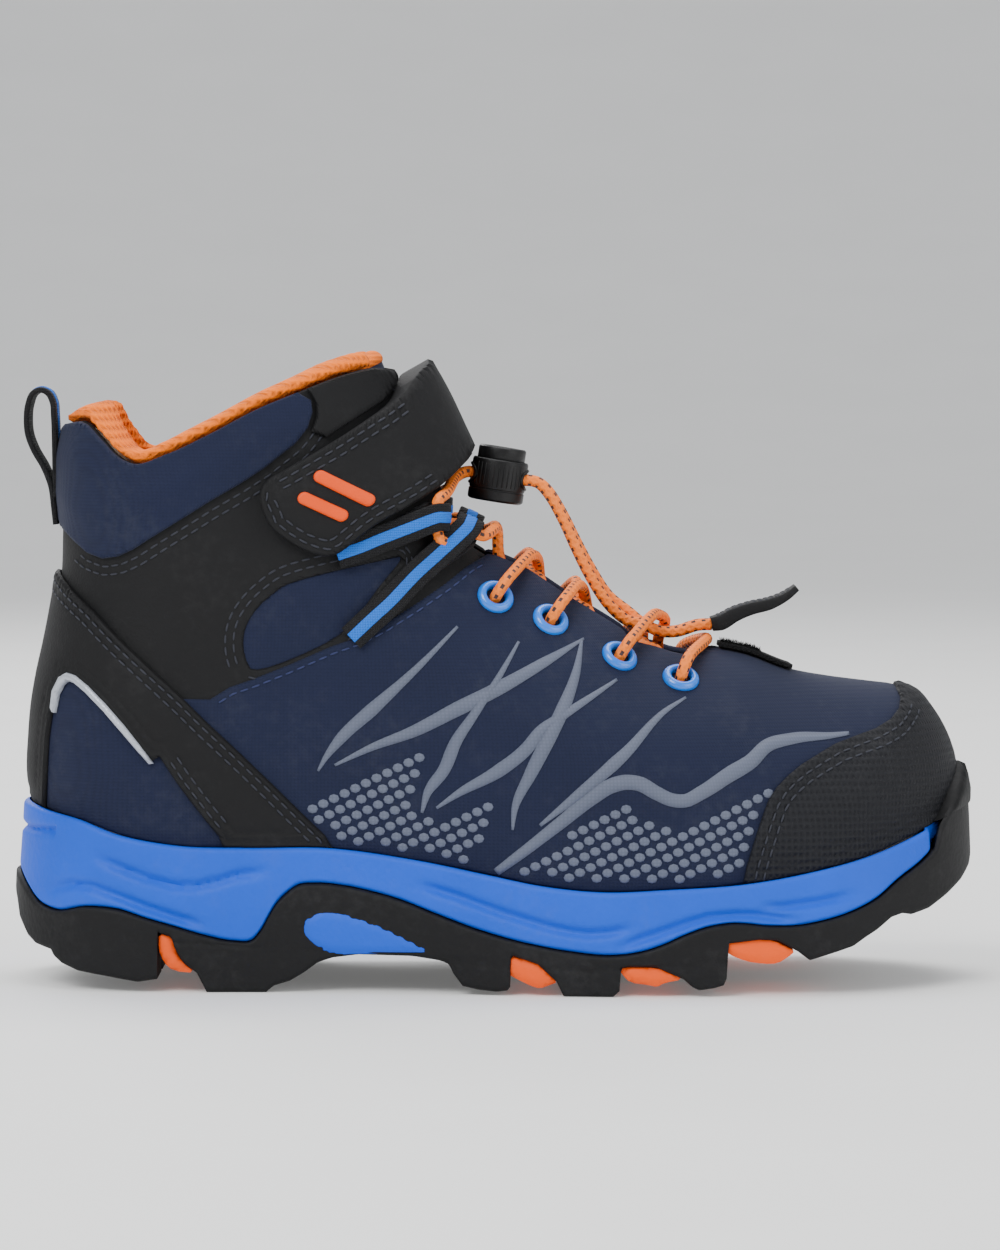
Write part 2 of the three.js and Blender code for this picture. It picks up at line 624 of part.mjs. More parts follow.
// Collar panels, trims, piping and the toe guard's neighbours.
const collarPanel = [
  [-108, 134.7], [-102.7, 137.5], [-98.2, 135], [-95.3, 131.9], [-90.2, 127.1], [-87.2, 126],
  [-83.6, 126.6], [-79.2, 128.2], [-68.9, 133], [-57, 139.2], [-46.7, 143.4], [-44.7, 140.9],
  [-44.3, 138], [-45.4, 134.3], [-48.3, 130.6], [-55.7, 124.7], [-68.9, 116.7], [-82, 108.6],
  [-90.9, 103.6], [-94.6, 103], [-98.3, 104.2], [-101.9, 107], [-108.5, 113],
];
const trimOutline = [
  [-46, 144.5], [-43.6, 141.5], [-43.2, 137.5], [-44.6, 133.5], [-41, 132], [-24, 142.6],
  [-25.4, 146.5], [-27.5, 152], [-40, 152],
];
const pipingOutline = [
  [-107.6, 65.8], [-106.4, 70.9], [-104.6, 74.3], [-102.8, 75.5], [-100.7, 75], [-97.4, 72.6],
  [-93.1, 68.4], [-88.8, 63.5], [-85.1, 58.7], [-81.4, 56.6], [-82.3, 54.6], [-86, 57], [-89.8, 61.7],
  [-94, 66.6], [-98.1, 70.7], [-101.1, 73], [-102.9, 73.4], [-104.1, 72.4], [-105.4, 70],
  [-106.4, 65.5],
];
const pipingShell = shell(0.02, 1.9, 1, 8);
// An outline moved out by a gap; the outline runs clockwise.
function wider(points, amount) {
  return points.map(([x, z], i) => {
    const a = points[(i + points.length - 1) % points.length];
    const b = points[(i + 1) % points.length];
    const run = Math.hypot(b[0] - a[0], b[1] - a[1]);
    return [x - ((b[1] - a[1]) / run) * amount, z + ((b[0] - a[0]) / run) * amount];
  });
}
const bandCut = across(wider(pipingOutline, gap));
add("heel_band", overShell.intersect(across(bandOutline)).subtract(bandCut), black);
for (const [name, hand] of hands) {
  const [y0, y1] = hand < 0 ? [-90, -0.15] : [0.15, 90];
  const panel = overShell.intersect(across(collarPanel, hand < 0 ? -90 : 7.2, hand < 0 ? -7.2 : 90));
  add("collar_panel_" + name, panel, navy);
  const trim = overShell.intersect(across(trimOutline, y0, y1));
  add("collar_trim_" + name, trim, black);
  add("piping_" + name, pipingShell.intersect(across(pipingOutline, y0, y1)), silver, 0.4);
}

// Hidden stiffeners between the outer cloth and the lining.
const stiff = shell(-3.05, -2.1, 0, 8);
const counterOutline = [[-130, 20], [-130, 84], [-96, 84], [-74, 62], [-62, 40], [-60, 20]];
add("heel_counter", stiff.intersect(across(counterOutline)), 0xd8d4c8);
const puffOutline = [[72, 20], [76, 44], [86, 56], [100, 61], [104, 80], [130, 80], [130, 20]];
add("toe_puff", stiff.intersect(across(puffOutline)), 0xd8d4c8);

// Lining with its rolled collar, and the foam it wraps: thick at the shaft, none in front.
function padding(round, rise) {
  const u = round <= 1 ? round : 2 - round;
  const up = THREE.MathUtils.smoothstep(rise, 0.42, 0.72);
  const away = 1 - THREE.MathUtils.smoothstep(u, 0.7, 0.86);
  return collarPadding * up * away;
}
const liningShell = ring((round) => {
  const loop = rows.map((rise) => [rise, -3.55 - padding(round, rise)]);
  loop.push([1.005, -1.9]);
  loop.push([1.02, -1.1]);
  loop.push([1.05, -1.6]);
  loop.push([1.062, -4.2]);
  loop.push([1.03, -4.9 - padding(round, 0.9)]);
  const inner = rows.map((rise) => [rise, -3.55 - liningThickness - padding(round, rise)]);
  return [...loop, ...inner.reverse()];
}, around);
const liningThroat = [
  [125, 12], [125, 90], [54, 90], [52, 65], [40, 66.5], [28, 71], [14, 79.5], [-2, 86], [-12, 98],
  [-19, 117], [-22.5, 129], [-26.3, 138], [-29, 146], [-30, 165], [-130, 165], [-130, 12],
];
add("lining", liningShell.intersect(across(liningThroat)), orange);
const foamRows = rows.slice(5);
const foamShell = ring((round) => {
  const outer = foamRows.map((rise) => [rise, -2.1]);
  const inner = foamRows.map((rise) => [rise, -3.1 - padding(round, rise)]);
  return [...outer, ...inner.reverse()];
}, around);
const foamOutline = [[-130, 86], [-60, 86], [-44, 96], [-40, 120], [-46, 165], [-130, 165]];
add("collar_foam", foamShell.intersect(across(foamOutline)), 0xe9e4cf);

// Tongue: a padded slab under the throat, standing out at the top.
function tongueAt(s, t, out) {
  const low = riseOf(56);
  const rise = low + (1.03 - low) * s;
  const half = 19 + 6 * s;
  const y = (t * 2 - 1) * half;
  const depth = -7.1 + 3.3 * THREE.MathUtils.smoothstep(s, 0.45, 0.95);
  const p = crest(Math.min(rise, 0.995), y, depth + out - 3 * (2 * t - 1) ** 4);
  if (rise > 0.995) {
    p.x -= (rise - 0.995) * 60;
    p.z += (rise - 0.995) * 150;
  }
  return p;
}
const tongueFront = slab(
  (s, t) => tongueAt(s, t, -1),
  (s, t) => tongueAt(s, t, 0),
  14,
  6,
);
const tongueRoom = ring((round) => {
  const outer = [...rows, 1.08].map((rise) => [rise, 0.5]);
  const inner = [...rows, 1.08].map((rise) => [
    rise,
    -3.75 - liningThickness - gap - padding(round, Math.min(rise, 0.95)) - (rise > 1 ? 1 : 0),
  ]);
  return [...outer, ...inner.reverse()];
}, around).intersect(across(moved(liningThroat, 0.4, 0.3)));
add("tongue_shell", tongueFront.subtract(tongueRoom), navy);
const tongueBack = slab(
  (s, t) => tongueAt(s * 0.98, 0.04 + 0.92 * t, -5.4 + 1.6 * Math.abs(2 * t - 1)),
  (s, t) => tongueAt(s * 0.98, 0.04 + 0.92 * t, -1.8),
  14,
  6,
);
add("tongue_padding", tongueBack.subtract(tongueRoom), orange);

// A band along a path on the surface: [x, z, out] points, width across, thickness outwards.
function band(path, hand, width, thickness, steps) {
  const marks = path.map(([x, z, out]) => {
    const { at, up } = surfaceAt(x, z, hand);
    return { at: at.clone().addScaledVector(up, out), up };
  });
  const line = new THREE.CatmullRomCurve3(marks.map((m) => m.at), false, "centripetal");
  const place = (s, t, out) => {
    const k = Math.min(marks.length - 1.0001, s * (marks.length - 1));
    const i = Math.floor(k);
    const up = marks[i].up.clone().lerp(marks[i + 1].up, k - i).normalize();
    const run = line.getTangent(s);
    const wide = new THREE.Vector3().crossVectors(up, run).normalize();
    const level = new THREE.Vector3().crossVectors(run, wide).normalize();
    return line.getPoint(s).addScaledVector(wide, (t - 0.5) * width).addScaledVector(level, out);
  };
  return slab((s, t) => place(s, t, 0), (s, t) => place(s, t, thickness), steps, 1);
}

// A short sleeve round a cord: centre, direction of the cord.
function sleeve(centre, direction, inner, outer, length) {
  const h = length / 2;
  const profile = [[inner, -h], [outer, -h], [outer, h], [inner, h], [inner, -h]];
  const turn = new THREE.Quaternion();
  turn.setFromUnitVectors(new THREE.Vector3(0, 0, 1), direction.clone().normalize());
  const matrix = new THREE.Matrix4().compose(centre, turn, new THREE.Vector3(1, 1, 1));
  return placed(turned(profile, 12), matrix);
}

// Where the cord runs through the ends of the webbing loops, on each side.
function loopEyes(hand) {
  const upper = surfaceAt(-17.2, 111.6, hand);
  const lower = surfaceAt(-9.8, 107.6, hand);
  return {
    upper: upper.at.clone().addScaledVector(upper.up, 4.4),
    upperUp: upper.up,
    lower: lower.at.clone().addScaledVector(lower.up, 4.2),
    lowerUp: lower.up,
  };
}
for (const [name, hand] of hands) {
  const eyes = loopEyes(hand);
  const upperBand = band(
    [[-36.8, 104.6, 0.35], [-29, 107.4, 0.4], [-24, 109.2, 1.1], [-20.6, 110.4, 2.8]],
    hand,
    6.6,
    1.5,
    5,
  );
  const upperEye = sleeve(eyes.upper, new THREE.Vector3(0.05, 0, 1), 2, 3.5, 6.4);
  add("lace_loop_upper_" + name, upperBand.add(upperEye), blue);
  const lowerBand = band(
    [[-33, 86.3, 0.35], [-26, 92.6, 0.4], [-20, 98.9, 0.6], [-14.4, 103.6, 2]],
    hand,
    6.6,
    1.5,
    6,
  );
  const lowerEye = sleeve(eyes.lower, new THREE.Vector3(1, 0, -0.45), 2, 3.5, 6.4);
  add("lace_loop_lower_" + name, lowerBand.add(lowerEye), blue);
}

// The cord lock stands on the free cords in front of the ankle and leans forwards.
const lockTurn = new THREE.Quaternion().setFromAxisAngle(new THREE.Vector3(0, 1, 0), 0.155);
const lockBase = new THREE.Vector3(-0.9, 0, 115.9);
const lockFrame = new THREE.Matrix4().compose(lockBase, lockTurn, new THREE.Vector3(1, 1, 1));
function inLock(x, y, z) {
  return new THREE.Vector3(x, y, z).applyMatrix4(lockFrame);
}
const r = lockDiameter / 2;
const cordHeight = 6.2;
const cordApart = 1.65; // each cord's distance from the middle
const slotHalf = cordApart + cordDiameter / 2 + 0.4;
const buttonTravel = 1.6;
const boreRadius = buttonDiameter / 2 + gap;
const barrelFloor = 1.2;
const buttonFoot = 3.4;
let barrel = turned([
  [0, 0], [r - 0.5, 0], [r, 0.6], [r, lockHeight - 0.3], [r - 0.3, lockHeight],
  [boreRadius, lockHeight], [boreRadius, barrelFloor], [0, barrelFloor],
], 24);
function lockSlot(low, high, half, length = 20) {
  const box = new THREE.BoxGeometry(length, 2 * half, high - low);
  box.translate(0, 0, (low + high) / 2);
  return toSolid(box);
}
const cordHalf = cordDiameter / 2;
barrel = barrel.subtract(lockSlot(cordHeight - cordHalf - 0.7, cordHeight + cordHalf + 0.7, slotHalf));
add("cord_lock_barrel", placed(barrel, lockFrame), 0x141416, 0.5);
const top = lockHeight + 3.1;
let button = turned([
  [0, buttonFoot], [buttonDiameter / 2, buttonFoot], [buttonDiameter / 2, top - 0.5],
  [buttonDiameter / 2 - 0.5, top], [0, top],
], 24);
// The slot is taller than the cords by the travel, and presses them from below at rest.
const buttonSlot = [cordHeight - cordHalf - 0.35, cordHeight + cordHalf + 0.35 + buttonTravel];
button = button.subtract(lockSlot(...buttonSlot, slotHalf));
add("cord_lock_button", placed(button, lockFrame), 0x17171a, 0.5);
const springPoints = [];
const springRise = buttonFoot - barrelFloor - 1.1;
for (let i = 0; i <= 20; i += 1) {
  const a = (2 * Math.PI * 2 * i) / 20;
  const wide = 4.4 - (2 * i) / 20;
  springPoints.push(
    new THREE.Vector3(Math.cos(a) * wide, Math.sin(a) * wide, barrelFloor + 0.55 + (springRise * i) / 20),
  );
}
add("cord_lock_spring", placed(tube(springPoints, 0.5, 24, 6), lockFrame), 0xb0b3b8, 0.3);

// The lace: one cord, from the lock through the loops, down the eyelets on one side, over the
// instep and back up the other side.
function strandTop(hand) {
  const eyes = loopEyes(hand);
  const out = (x, z, o) => {
    const { at, up } = surfaceAt(x, z, hand);
    return at.clone().addScaledVector(up, o);
  };
  return [
    inLock(-0.2, hand * cordApart, cordHeight),
    inLock(-4, hand * cordApart, cordHeight),
    inLock(-7.6, hand * cordApart, cordHeight),
    inLock(-9.6, hand * (cordApart + 1.1), cordHeight - 1.1),
    new THREE.Vector3(-12.4, eyes.upper.y * 0.74, 118.6),
    eyes.upper.clone().add(new THREE.Vector3(0.2, 0, 3.4)),
    eyes.upper.clone().add(new THREE.Vector3(0, 0, -3)),
    eyes.upper.clone().add(new THREE.Vector3(1.2, 0.4 * hand, -6.2)),
    eyes.lower.clone().add(new THREE.Vector3(-3, 0, 1.4)),
    eyes.lower.clone().add(new THREE.Vector3(3.2, 0, -1.5)),
  ];
}
function through(i, hand, towards) {
  const { at, up } = eyeletFrame(i, hand);
  const way = towards.clone().sub(at);
  way.addScaledVector(up, -way.dot(up)).normalize();
  const spot = (slide, out) => at.clone().addScaledVector(way, slide).addScaledVector(up, out);
  return [spot(7.4, 2.7), spot(2.9, 3.6), spot(0.25, 1.5), spot(0, -1.7)];
}
function inside(i, hand, edge) {
  const { at, up } = eyeletFrame(i, hand);
  const way = edge.clone().sub(at);
  way.addScaledVector(up, -way.dot(up)).normalize();
  return at.clone().addScaledVector(way, 3.4).addScaledVector(up, -4.5);
}
// Where a crossing cord tucks under the other side's edge, and how far out it is at the middle.
const tuckAt = [13.6, 25.6, 41];
const middleAt = [9.8, 21.2, 37.2];
const highOut = [-0.5, -0.8, 4];
const lowOut = [-4, -4.2, -4.1];
function crossing(i, hand, out) {
  const middle = crest(riseOf(middleAt[i]), 0, out);
  const edge = crest(riseOf(tuckAt[i]), -hand * 9.8, -4.5);
  return { middle, edge };
}
function strandDown(first) {
  // From the eyelet under the top of one side to the lowest eyelet.
  const points = [];
  let hand = first;
  const entry = crest(riseOf(4), hand * 10.6, -4.6);
  points.push(crest(riseOf(-0.6), hand * 7.2, 1.4), crest(riseOf(2), hand * 7.6, -2.6), entry);
  points.push(inside(0, hand, entry));
  for (let i = 0; i < 4; i += 1) {
    const out = hand < 0 ? highOut[i] : lowOut[i];
    if (i === 3) {
      const bar = crest(riseOf(50.5), 0, 1.35);
      points.push(...through(3, hand, bar).reverse());
      break;
    }
    const { middle, edge } = crossing(i, hand, out);
    const side1 = crest(riseOf(middleAt[i] - 2), hand * 9, Math.max(out, 0) * 0.6 + 1.3);
    points.push(...through(i, hand, side1).reverse());
    points.push(side1, middle);
    const between = riseOf((middleAt[i] + tuckAt[i]) / 2 + 0.6);
    if (out > 1) points.push(crest(between, -hand * 3.4, out - 0.7), crest(between, -hand * 7, -1));
    else points.push(crest(between, -hand * 5.4, -3.7));
    points.push(edge, inside(i + 1, -hand, edge));
    hand = -hand;
  }
  return points;
}
const lateralDown = [...strandTop(-1), ...strandDown(-1)];
const medialDown = [...strandTop(1), ...strandDown(1)];
const lacePoints = [...lateralDown, crest(riseOf(50.5), 0, 1.35), ...medialDown.reverse()];
add("lace_laced", tube(lacePoints, cordDiameter, 132, 8), 0xf57d23);

// The two free ends: out of the lock, forwards and down to the tab.
function freeEnd(hand) {
  const bulge = hand > 0 ? 1 : 0;
  const y = cordApart * hand;
  const ys = y * 1.02;
  const point = (x, z, extra = 0) => new THREE.Vector3(x, ys + extra * hand, z);
  return [
    inLock(0.2, y, cordHeight),
    inLock(5, y, cordHeight),
    inLock(9.6, ys, cordHeight),
    point(12.2, 117.9 + bulge * 0.4, 0.3),
    point(15.6, 112 + bulge * 0.8, 0.6),
    point(19, 104.6 + bulge * 1.4, 0.9),
    point(22.3, 98 + bulge * 1.8, 1.2),
    point(26.8, 91 + bulge * 1.9, 1),
    point(31.4, 87 + bulge * 2.2, 0.3),
    crest(riseOf(35), ys, 0.5),
    crest(riseOf(38.8), ys, 0.4),
    point(43.4, 84.3),
    point(48.4, 85.8),
    point(51.9, 86),
  ];
}
for (const [name, hand] of hands) {
  add("lace_free_" + name, tube(freeEnd(hand), cordDiameter, 26, 8), 0xf57d23);
}

// The folded tab that grips the two ends, and the strip it sticks to.
const tabOutline = [
  [52.3, 87.9], [54, 88.1], [56.7, 89.7], [60.7, 91.4], [66.7, 92.7], [70.7, 95.1], [72.3, 95.6],
  [73.2, 94.7], [72.7, 92.7], [69.7, 89.1], [63.3, 87.7], [58.7, 86.1], [54.7, 84.1], [52.6, 83.9],
];
add("lace_end_tab", across(tabOutline, -5.6, 5.6, null, true), black);
function baseStrip(s, t, out) {
  return crest(riseOf(70.8 - 15.4 * s), (t * 2 - 1) * 5.5, out);
}
const stripSolid = slab((s, t) => baseStrip(s, t, 0.1), (s, t) => baseStrip(s, t, 1.3), 5, 2);
add("tab_base_strip", stripSolid, black);

// Ankle strap: sewn at the inner side, round the front, stuck down on the outer side.
function strapOut(round) {
  const u = round <= 1 ? round : 2 - round;
  return 2.3 + 4 * THREE.MathUtils.smoothstep(u, 0.66, 0.93);
}
const strapRows = [0.5, 0.6, 0.7, 0.8, 0.9, 1];
function strapShell(low, high) {
  return ring((round) => {
    const outer = strapRows.map((rise) => [rise, strapOut(round) + high]);
    const inner = strapRows.map((rise) => [rise, strapOut(round) + low]);
    return [...outer, ...inner.reverse()];
  }, 48);
}
const strapBody = strapShell(0, strapThickness);
const strapTop = [[-54.2, 122.5], [-51.3, 124], [-40, 130.6], [-30, 137.2], [-24.8, 140.8]];
const strapOuterOutline = [
  ...strapTop, [-23.4, 147], [-19.7, 149.5], [-14, 152], [20, 152], [20, 128.2], [-8.4, 126.9],
  [-10.5, 123.3], [-16.5, 119.4], [-21.7, 115.6], [-28.9, 111.6], [-32.2, 109.3], [-37.3, 104.9],
  [-40.2, 103.6], [-43.2, 104.2], [-46.9, 105.7], [-50.5, 107.9], [-54.2, 110.8], [-56.8, 116.7],
  [-56.4, 120.3],
];
const strapInnerOutline = [
  [-50, 125], [-40, 130.6], [-30, 137.2], [-24.8, 140.8], [-23.4, 147], [-19.7, 149.5], [-14, 152],
  [20, 152], [20, 131.8], [-7, 131.8], [-11, 128], [-16.5, 121.6], [-21.7, 116.4], [-28.9, 111.6],
  [-36, 106.4], [-44, 104],
];
function seam(a, b, half) {
  // A thin strip across the strap between two side-view points, past both edges.
  const run = Math.hypot(b[0] - a[0], b[1] - a[1]);
  const [nx, nz] = [(-(b[1] - a[1]) / run) * half, ((b[0] - a[0]) / run) * half];
  const [ex, ez] = [((b[0] - a[0]) / run) * 12, ((b[1] - a[1]) / run) * 12];
  return [
    [a[0] - ex + nx, a[1] - ez + nz], [b[0] + ex + nx, b[1] + ez + nz],
    [b[0] + ex - nx, b[1] + ez - nz], [a[0] - ex - nx, a[1] - ez - nz],
  ];
}
const tipSeam = [[-20.3, 116.6], [-33.8, 137]];
const rootSeam = [[-26.6, 113.2], [-41.8, 130.4]];
const outerHalf = strapBody.intersect(across(strapOuterOutline, -90, -4));
const innerHalf = strapBody.intersect(across(strapInnerOutline, -4.01, 90));
const tipCut = across(seam(...tipSeam, 0.4), -90, 0);
const rootCut = across(seam(...rootSeam, 0.4), 0, 90);
const tipSide = across([[-90, 60], [-6.4, 60], tipSeam[0], tipSeam[1], [-60, 176], [-90, 176]], -90, 0);
const tipPiece = outerHalf.intersect(tipSide).subtract(tipCut);
const rootSide = across([[-90, 60], [20, 60], rootSeam[0], rootSeam[1], [-80, 173], [-90, 176]], 0, 90);
const rootPiece = innerHalf.intersect(rootSide).subtract(rootCut);
const frontPiece = outerHalf.add(innerHalf).subtract(tipSide).subtract(rootSide).subtract(tipCut).subtract(rootCut);
add("strap_tip", tipPiece, black);
add("strap_root", rootPiece, black);
add("strap_front", frontPiece, black);

// Hook patch under the tip, loop patch on the quarter, and the two raised bars.
const patchOutline = [
  [-52.5, 119.4], [-36.2, 128.8], [-29.6, 117.6], [-38.6, 108.4], [-43, 108], [-49.6, 111.8],
];
const hookShell = ring((round) => {
  const outer = strapRows.map((rise) => [rise, strapOut(round) - 0.1]);
  const inner = strapRows.map((rise) => [rise, 1.3]);
  return [...outer, ...inner.reverse()];
}, 48);
const loopShell = ring((round) => {
  const outer = strapRows.map((rise) => [rise, 1]);
  const inner = strapRows.map((rise) => [rise, 0.05]);
  return [...outer, ...inner.reverse()];
}, 48);
add("strap_hook_patch", hookShell.intersect(across(patchOutline, -90, 0)), 0x101012);
const barShell = strapShell(strapThickness + 0.05, strapThickness + 1);
function bar(a, b, half) {
  const run = Math.hypot(b[0] - a[0], b[1] - a[1]);
  const [dx, dz] = [(b[0] - a[0]) / run, (b[1] - a[1]) / run];
  const points = [];
  for (let i = 0; i <= 9; i += 1) {
    const angle = -Math.PI / 2 + (Math.PI * (i > 4 ? i - 1 : i)) / 4;
    const [end, c, s] = [i > 4 ? a : b, Math.cos(angle) * half, Math.sin(angle) * half];
    points.push([end[0] + dx * c - dz * s, end[1] + dz * c + dx * s]);
  }
  return points;
}
add("strap_bar_upper", barShell.intersect(across(bar([-43, 122.4], [-32.3, 116.5], 1.45), -90, 0)), 0xf05f32);
add("strap_bar_lower", barShell.intersect(across(bar([-46.4, 117.5], [-38, 113.2], 1.45), -90, 0)), 0xf05f32);

// Heel pull: a loop of webbing standing behind the collar.
const pullOuter = [
  [-107.6, 112.6], [-108, 118], [-109.2, 123.4], [-111.5, 127.6], [-114.4, 131.7],
  [-115.1, 134.6], [-114.9, 138.7], [-113.7, 142.4], [-111.5, 143.8], [-109.2, 143.4],
  [-107.6, 141.4], [-106.9, 138], [-107.1, 112.6],
];
const pullInner = [
  [-108.4, 122.5], [-110.1, 126.6], [-112.9, 131], [-113.5, 135.8], [-113.3, 138.7],
  [-112.4, 141.4], [-111.2, 142.2], [-109.8, 141.8], [-108.7, 139.6], [-108.3, 132],
];
add("heel_pull_loop", across(pullOuter, -6.5, 6.5, [...pullInner].reverse()), black);

// The middle of the sole on the ground is the origin; the cords don't count.
const onCords = ["lace_", "cord_lock", "tab_x"];
const box = new THREE.Box3();
for (const mesh of root.children) {
  if (onCords.some((start) => mesh.name.startsWith(start) && !mesh.name.startsWith("lace_loop"))) {
    continue;
  }
  mesh.geometry.computeBoundingBox();
  box.union(mesh.geometry.boundingBox);
}
const middle = box.getCenter(new THREE.Vector3());
root.position.set(-middle.x, -middle.y, -box.min.z);

export default root;
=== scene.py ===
import math
import bmesh
import bpy
import numpy as np
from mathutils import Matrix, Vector
from mathutils.geometry import delaunay_2d_cdt
from mathutils.kdtree import KDTree


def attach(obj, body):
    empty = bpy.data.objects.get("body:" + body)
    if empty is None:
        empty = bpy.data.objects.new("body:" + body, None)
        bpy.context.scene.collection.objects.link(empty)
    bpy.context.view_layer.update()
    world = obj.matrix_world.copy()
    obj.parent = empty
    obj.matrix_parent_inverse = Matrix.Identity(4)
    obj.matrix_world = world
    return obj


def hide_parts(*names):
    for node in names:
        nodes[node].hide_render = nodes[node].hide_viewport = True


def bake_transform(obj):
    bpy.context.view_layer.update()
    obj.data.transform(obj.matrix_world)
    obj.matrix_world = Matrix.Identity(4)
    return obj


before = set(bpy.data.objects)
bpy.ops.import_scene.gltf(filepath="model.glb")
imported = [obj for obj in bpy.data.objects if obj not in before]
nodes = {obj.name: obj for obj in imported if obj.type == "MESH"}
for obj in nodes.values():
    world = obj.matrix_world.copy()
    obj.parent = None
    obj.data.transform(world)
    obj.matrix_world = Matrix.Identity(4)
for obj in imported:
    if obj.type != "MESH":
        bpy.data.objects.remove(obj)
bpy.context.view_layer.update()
shift = np.array([0.093, 0.720, 0.0])  # where the part's own origin lies, in mm
rng = np.random.default_rng(7)
mm = 0.001


# The camera.
look = {"distance": 1.4, "elevation": 3.0, "height": 0.0866, "frame": 0.3012}
elevation = math.radians(look["elevation"])
cameraData = bpy.data.cameras.new("camera")
cameraData.lens = 36 * look["distance"] / look["frame"]
cameraData.clip_end = 20
camera = bpy.data.objects.new("camera", cameraData)
target = Vector((0.0005, -0.015, look["height"]))
away = Vector((0, -math.cos(elevation), math.sin(elevation))) * look["distance"]
camera.location = target + away
camera.rotation_euler = (-away).to_track_quat("-Z", "Y").to_euler()
bpy.context.scene.collection.objects.link(camera)
bpy.context.scene.camera = camera


# Mesh helpers.
def makeMesh(name, points, faces, smooth=True, uv=None):
    # Points in mm of the part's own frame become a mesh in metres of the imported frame.
    mesh = bpy.data.meshes.new(name)
    mesh.from_pydata(((np.asarray(points) + shift) * mm).tolist(), [], [list(f) for f in faces])
    mesh.polygons.foreach_set("use_smooth", [smooth] * len(mesh.polygons))
    if uv is not None:
        layer = mesh.uv_layers.new(name="along")
        loops = np.empty(len(mesh.loops), np.int32)
        mesh.loops.foreach_get("vertex_index", loops)
        layer.data.foreach_set("uv", np.asarray(uv)[loops].ravel())
    mesh.validate()
    mesh.update()
    obj = bpy.data.objects.new(name, mesh)
    bpy.context.scene.collection.objects.link(obj)
    return obj


def gridFaces(rows, columns, wrapRows=False, wrapColumns=False):
    # Quads of a grid numbered row by row; a wrapped side joins its last line to its first.
    i = np.arange(rows if wrapRows else rows - 1)
    j = np.arange(columns if wrapColumns else columns - 1)
    i, j = [a.ravel() for a in np.meshgrid(i, j, indexing="ij")]
    k, m = (i + 1) % rows, (j + 1) % columns
    return np.stack([i * columns + j, k * columns + j, k * columns + m, i * columns + m], 1)


def arcLength(points):
    # Distance from the first point to each point along the line.
    return np.r_[0, np.cumsum(np.linalg.norm(np.diff(points, axis=0), axis=1))]


def alongRows(t, s, rows):
    # Every column of rows, given at places s, read at the places t.
    return np.stack([np.interp(t, s, rows[..., k]) for k in range(rows.shape[-1])], -1)


def ringFaces(rings, sides, first=0):
    # Faces of a small closed tube of rings, with a flat face at either end.
    last = first + rings * sides
    ends = [[first + k for k in range(sides)], [last - 1 - k for k in range(sides)]]
    return (gridFaces(rings, sides, wrapColumns=True) + first).tolist() + ends


def tidyMesh(obj, dist=0.0000001):
    # Doubles are merged, unless dist is None, and the faces turned to point out.
    bm = bmesh.new()
    bm.from_mesh(obj.data)
    if dist is not None:
        bmesh.ops.remove_doubles(bm, verts=bm.verts, dist=dist)
    bmesh.ops.recalc_face_normals(bm, faces=bm.faces)
    bm.to_mesh(obj.data)
    bm.free()
    return obj


def sharpen(obj, angle=40):
    # Edges that bend by more than the angle are drawn sharp.
    obj.data.set_sharp_from_angle(angle=math.radians(angle))
    return obj


def smoothLine(points, count):
    # A centripetal-like curve through the points: cubic Hermite over arc length, then even steps.
    p = np.asarray(points, float)
    s = arcLength(p)
    m = np.gradient(p, s, axis=0)
    t = np.linspace(0, s[-1], count)
    k = np.clip(np.searchsorted(s, t, side="right") - 1, 0, len(s) - 2)
    h = (s[k + 1] - s[k])[:, None]
    f = ((t - s[k])[:, None]) / h
    a, b = 2 * f**3 - 3 * f**2 + 1, f**3 - 2 * f**2 + f
    c, d = -2 * f**3 + 3 * f**2, f**3 - f**2
    return a * p[k] + b * h * m[k] + c * p[k + 1] + d * h * m[k + 1]


def densify(points, step=0.7, closed=True):
    # Even steps of about step mm on each straight side.
    p = np.asarray(points, float)
    if closed:
        p = np.vstack([p, p[:1]])
    out = []
    for a, b in zip(p[:-1], p[1:]):
        n = max(1, int(np.linalg.norm(b - a) / step))
        out.append(a + (b - a) * (np.arange(n) / n)[:, None])
    out = np.vstack(out)
    return out if closed else np.vstack([out, p[-1:]])


def roundCorners(points, times=2, closed=True):
    # Corner cutting: each pass puts points at a quarter and three quarters of each side.
    p = np.asarray(points, float)
    for _ in range(times):
        q = np.roll(p, -1, axis=0) if closed else p[1:]
        base = p if closed else p[:-1]
        a, b = base * 0.75 + q * 0.25, base * 0.25 + q * 0.75
        mixed = np.stack([a, b], 1).reshape(-1, p.shape[1])
        p = mixed if closed else np.vstack([p[:1], mixed, p[-1:]])
    return p


def insideOf(points, loop):
    # Even-odd test of points against a closed loop.
    x, z = points[:, 0][:, None], points[:, 1][:, None]
    a, b = loop, np.roll(loop, -1, axis=0)
    crossing = (a[:, 1] > z) != (b[:, 1] > z)
    at = (a[:, 0] + (z - a[:, 1]) * (b[:, 0] - a[:, 0])
          / np.where(b[:, 1] == a[:, 1], 1e-9, b[:, 1] - a[:, 1]))
    return (crossing & (x < at)).sum(1) % 2 == 1


def lineDistance(points, line, chunk=4000):
    # Least distance from points to a dense line of points, by its segments.
    a, b = line[:-1], line[1:]
    d = b - a
    dd = (d**2).sum(1) + 1e-12
    out = []
    for i in range(0, len(points), chunk):
        p = points[i:i + chunk, None, :]
        f = np.clip(((p - a) * d).sum(2) / dd, 0, 1)[..., None]
        out.append(np.sqrt(((p - a - f * d)**2).sum(2)).min(1))
    return np.concatenate(out)


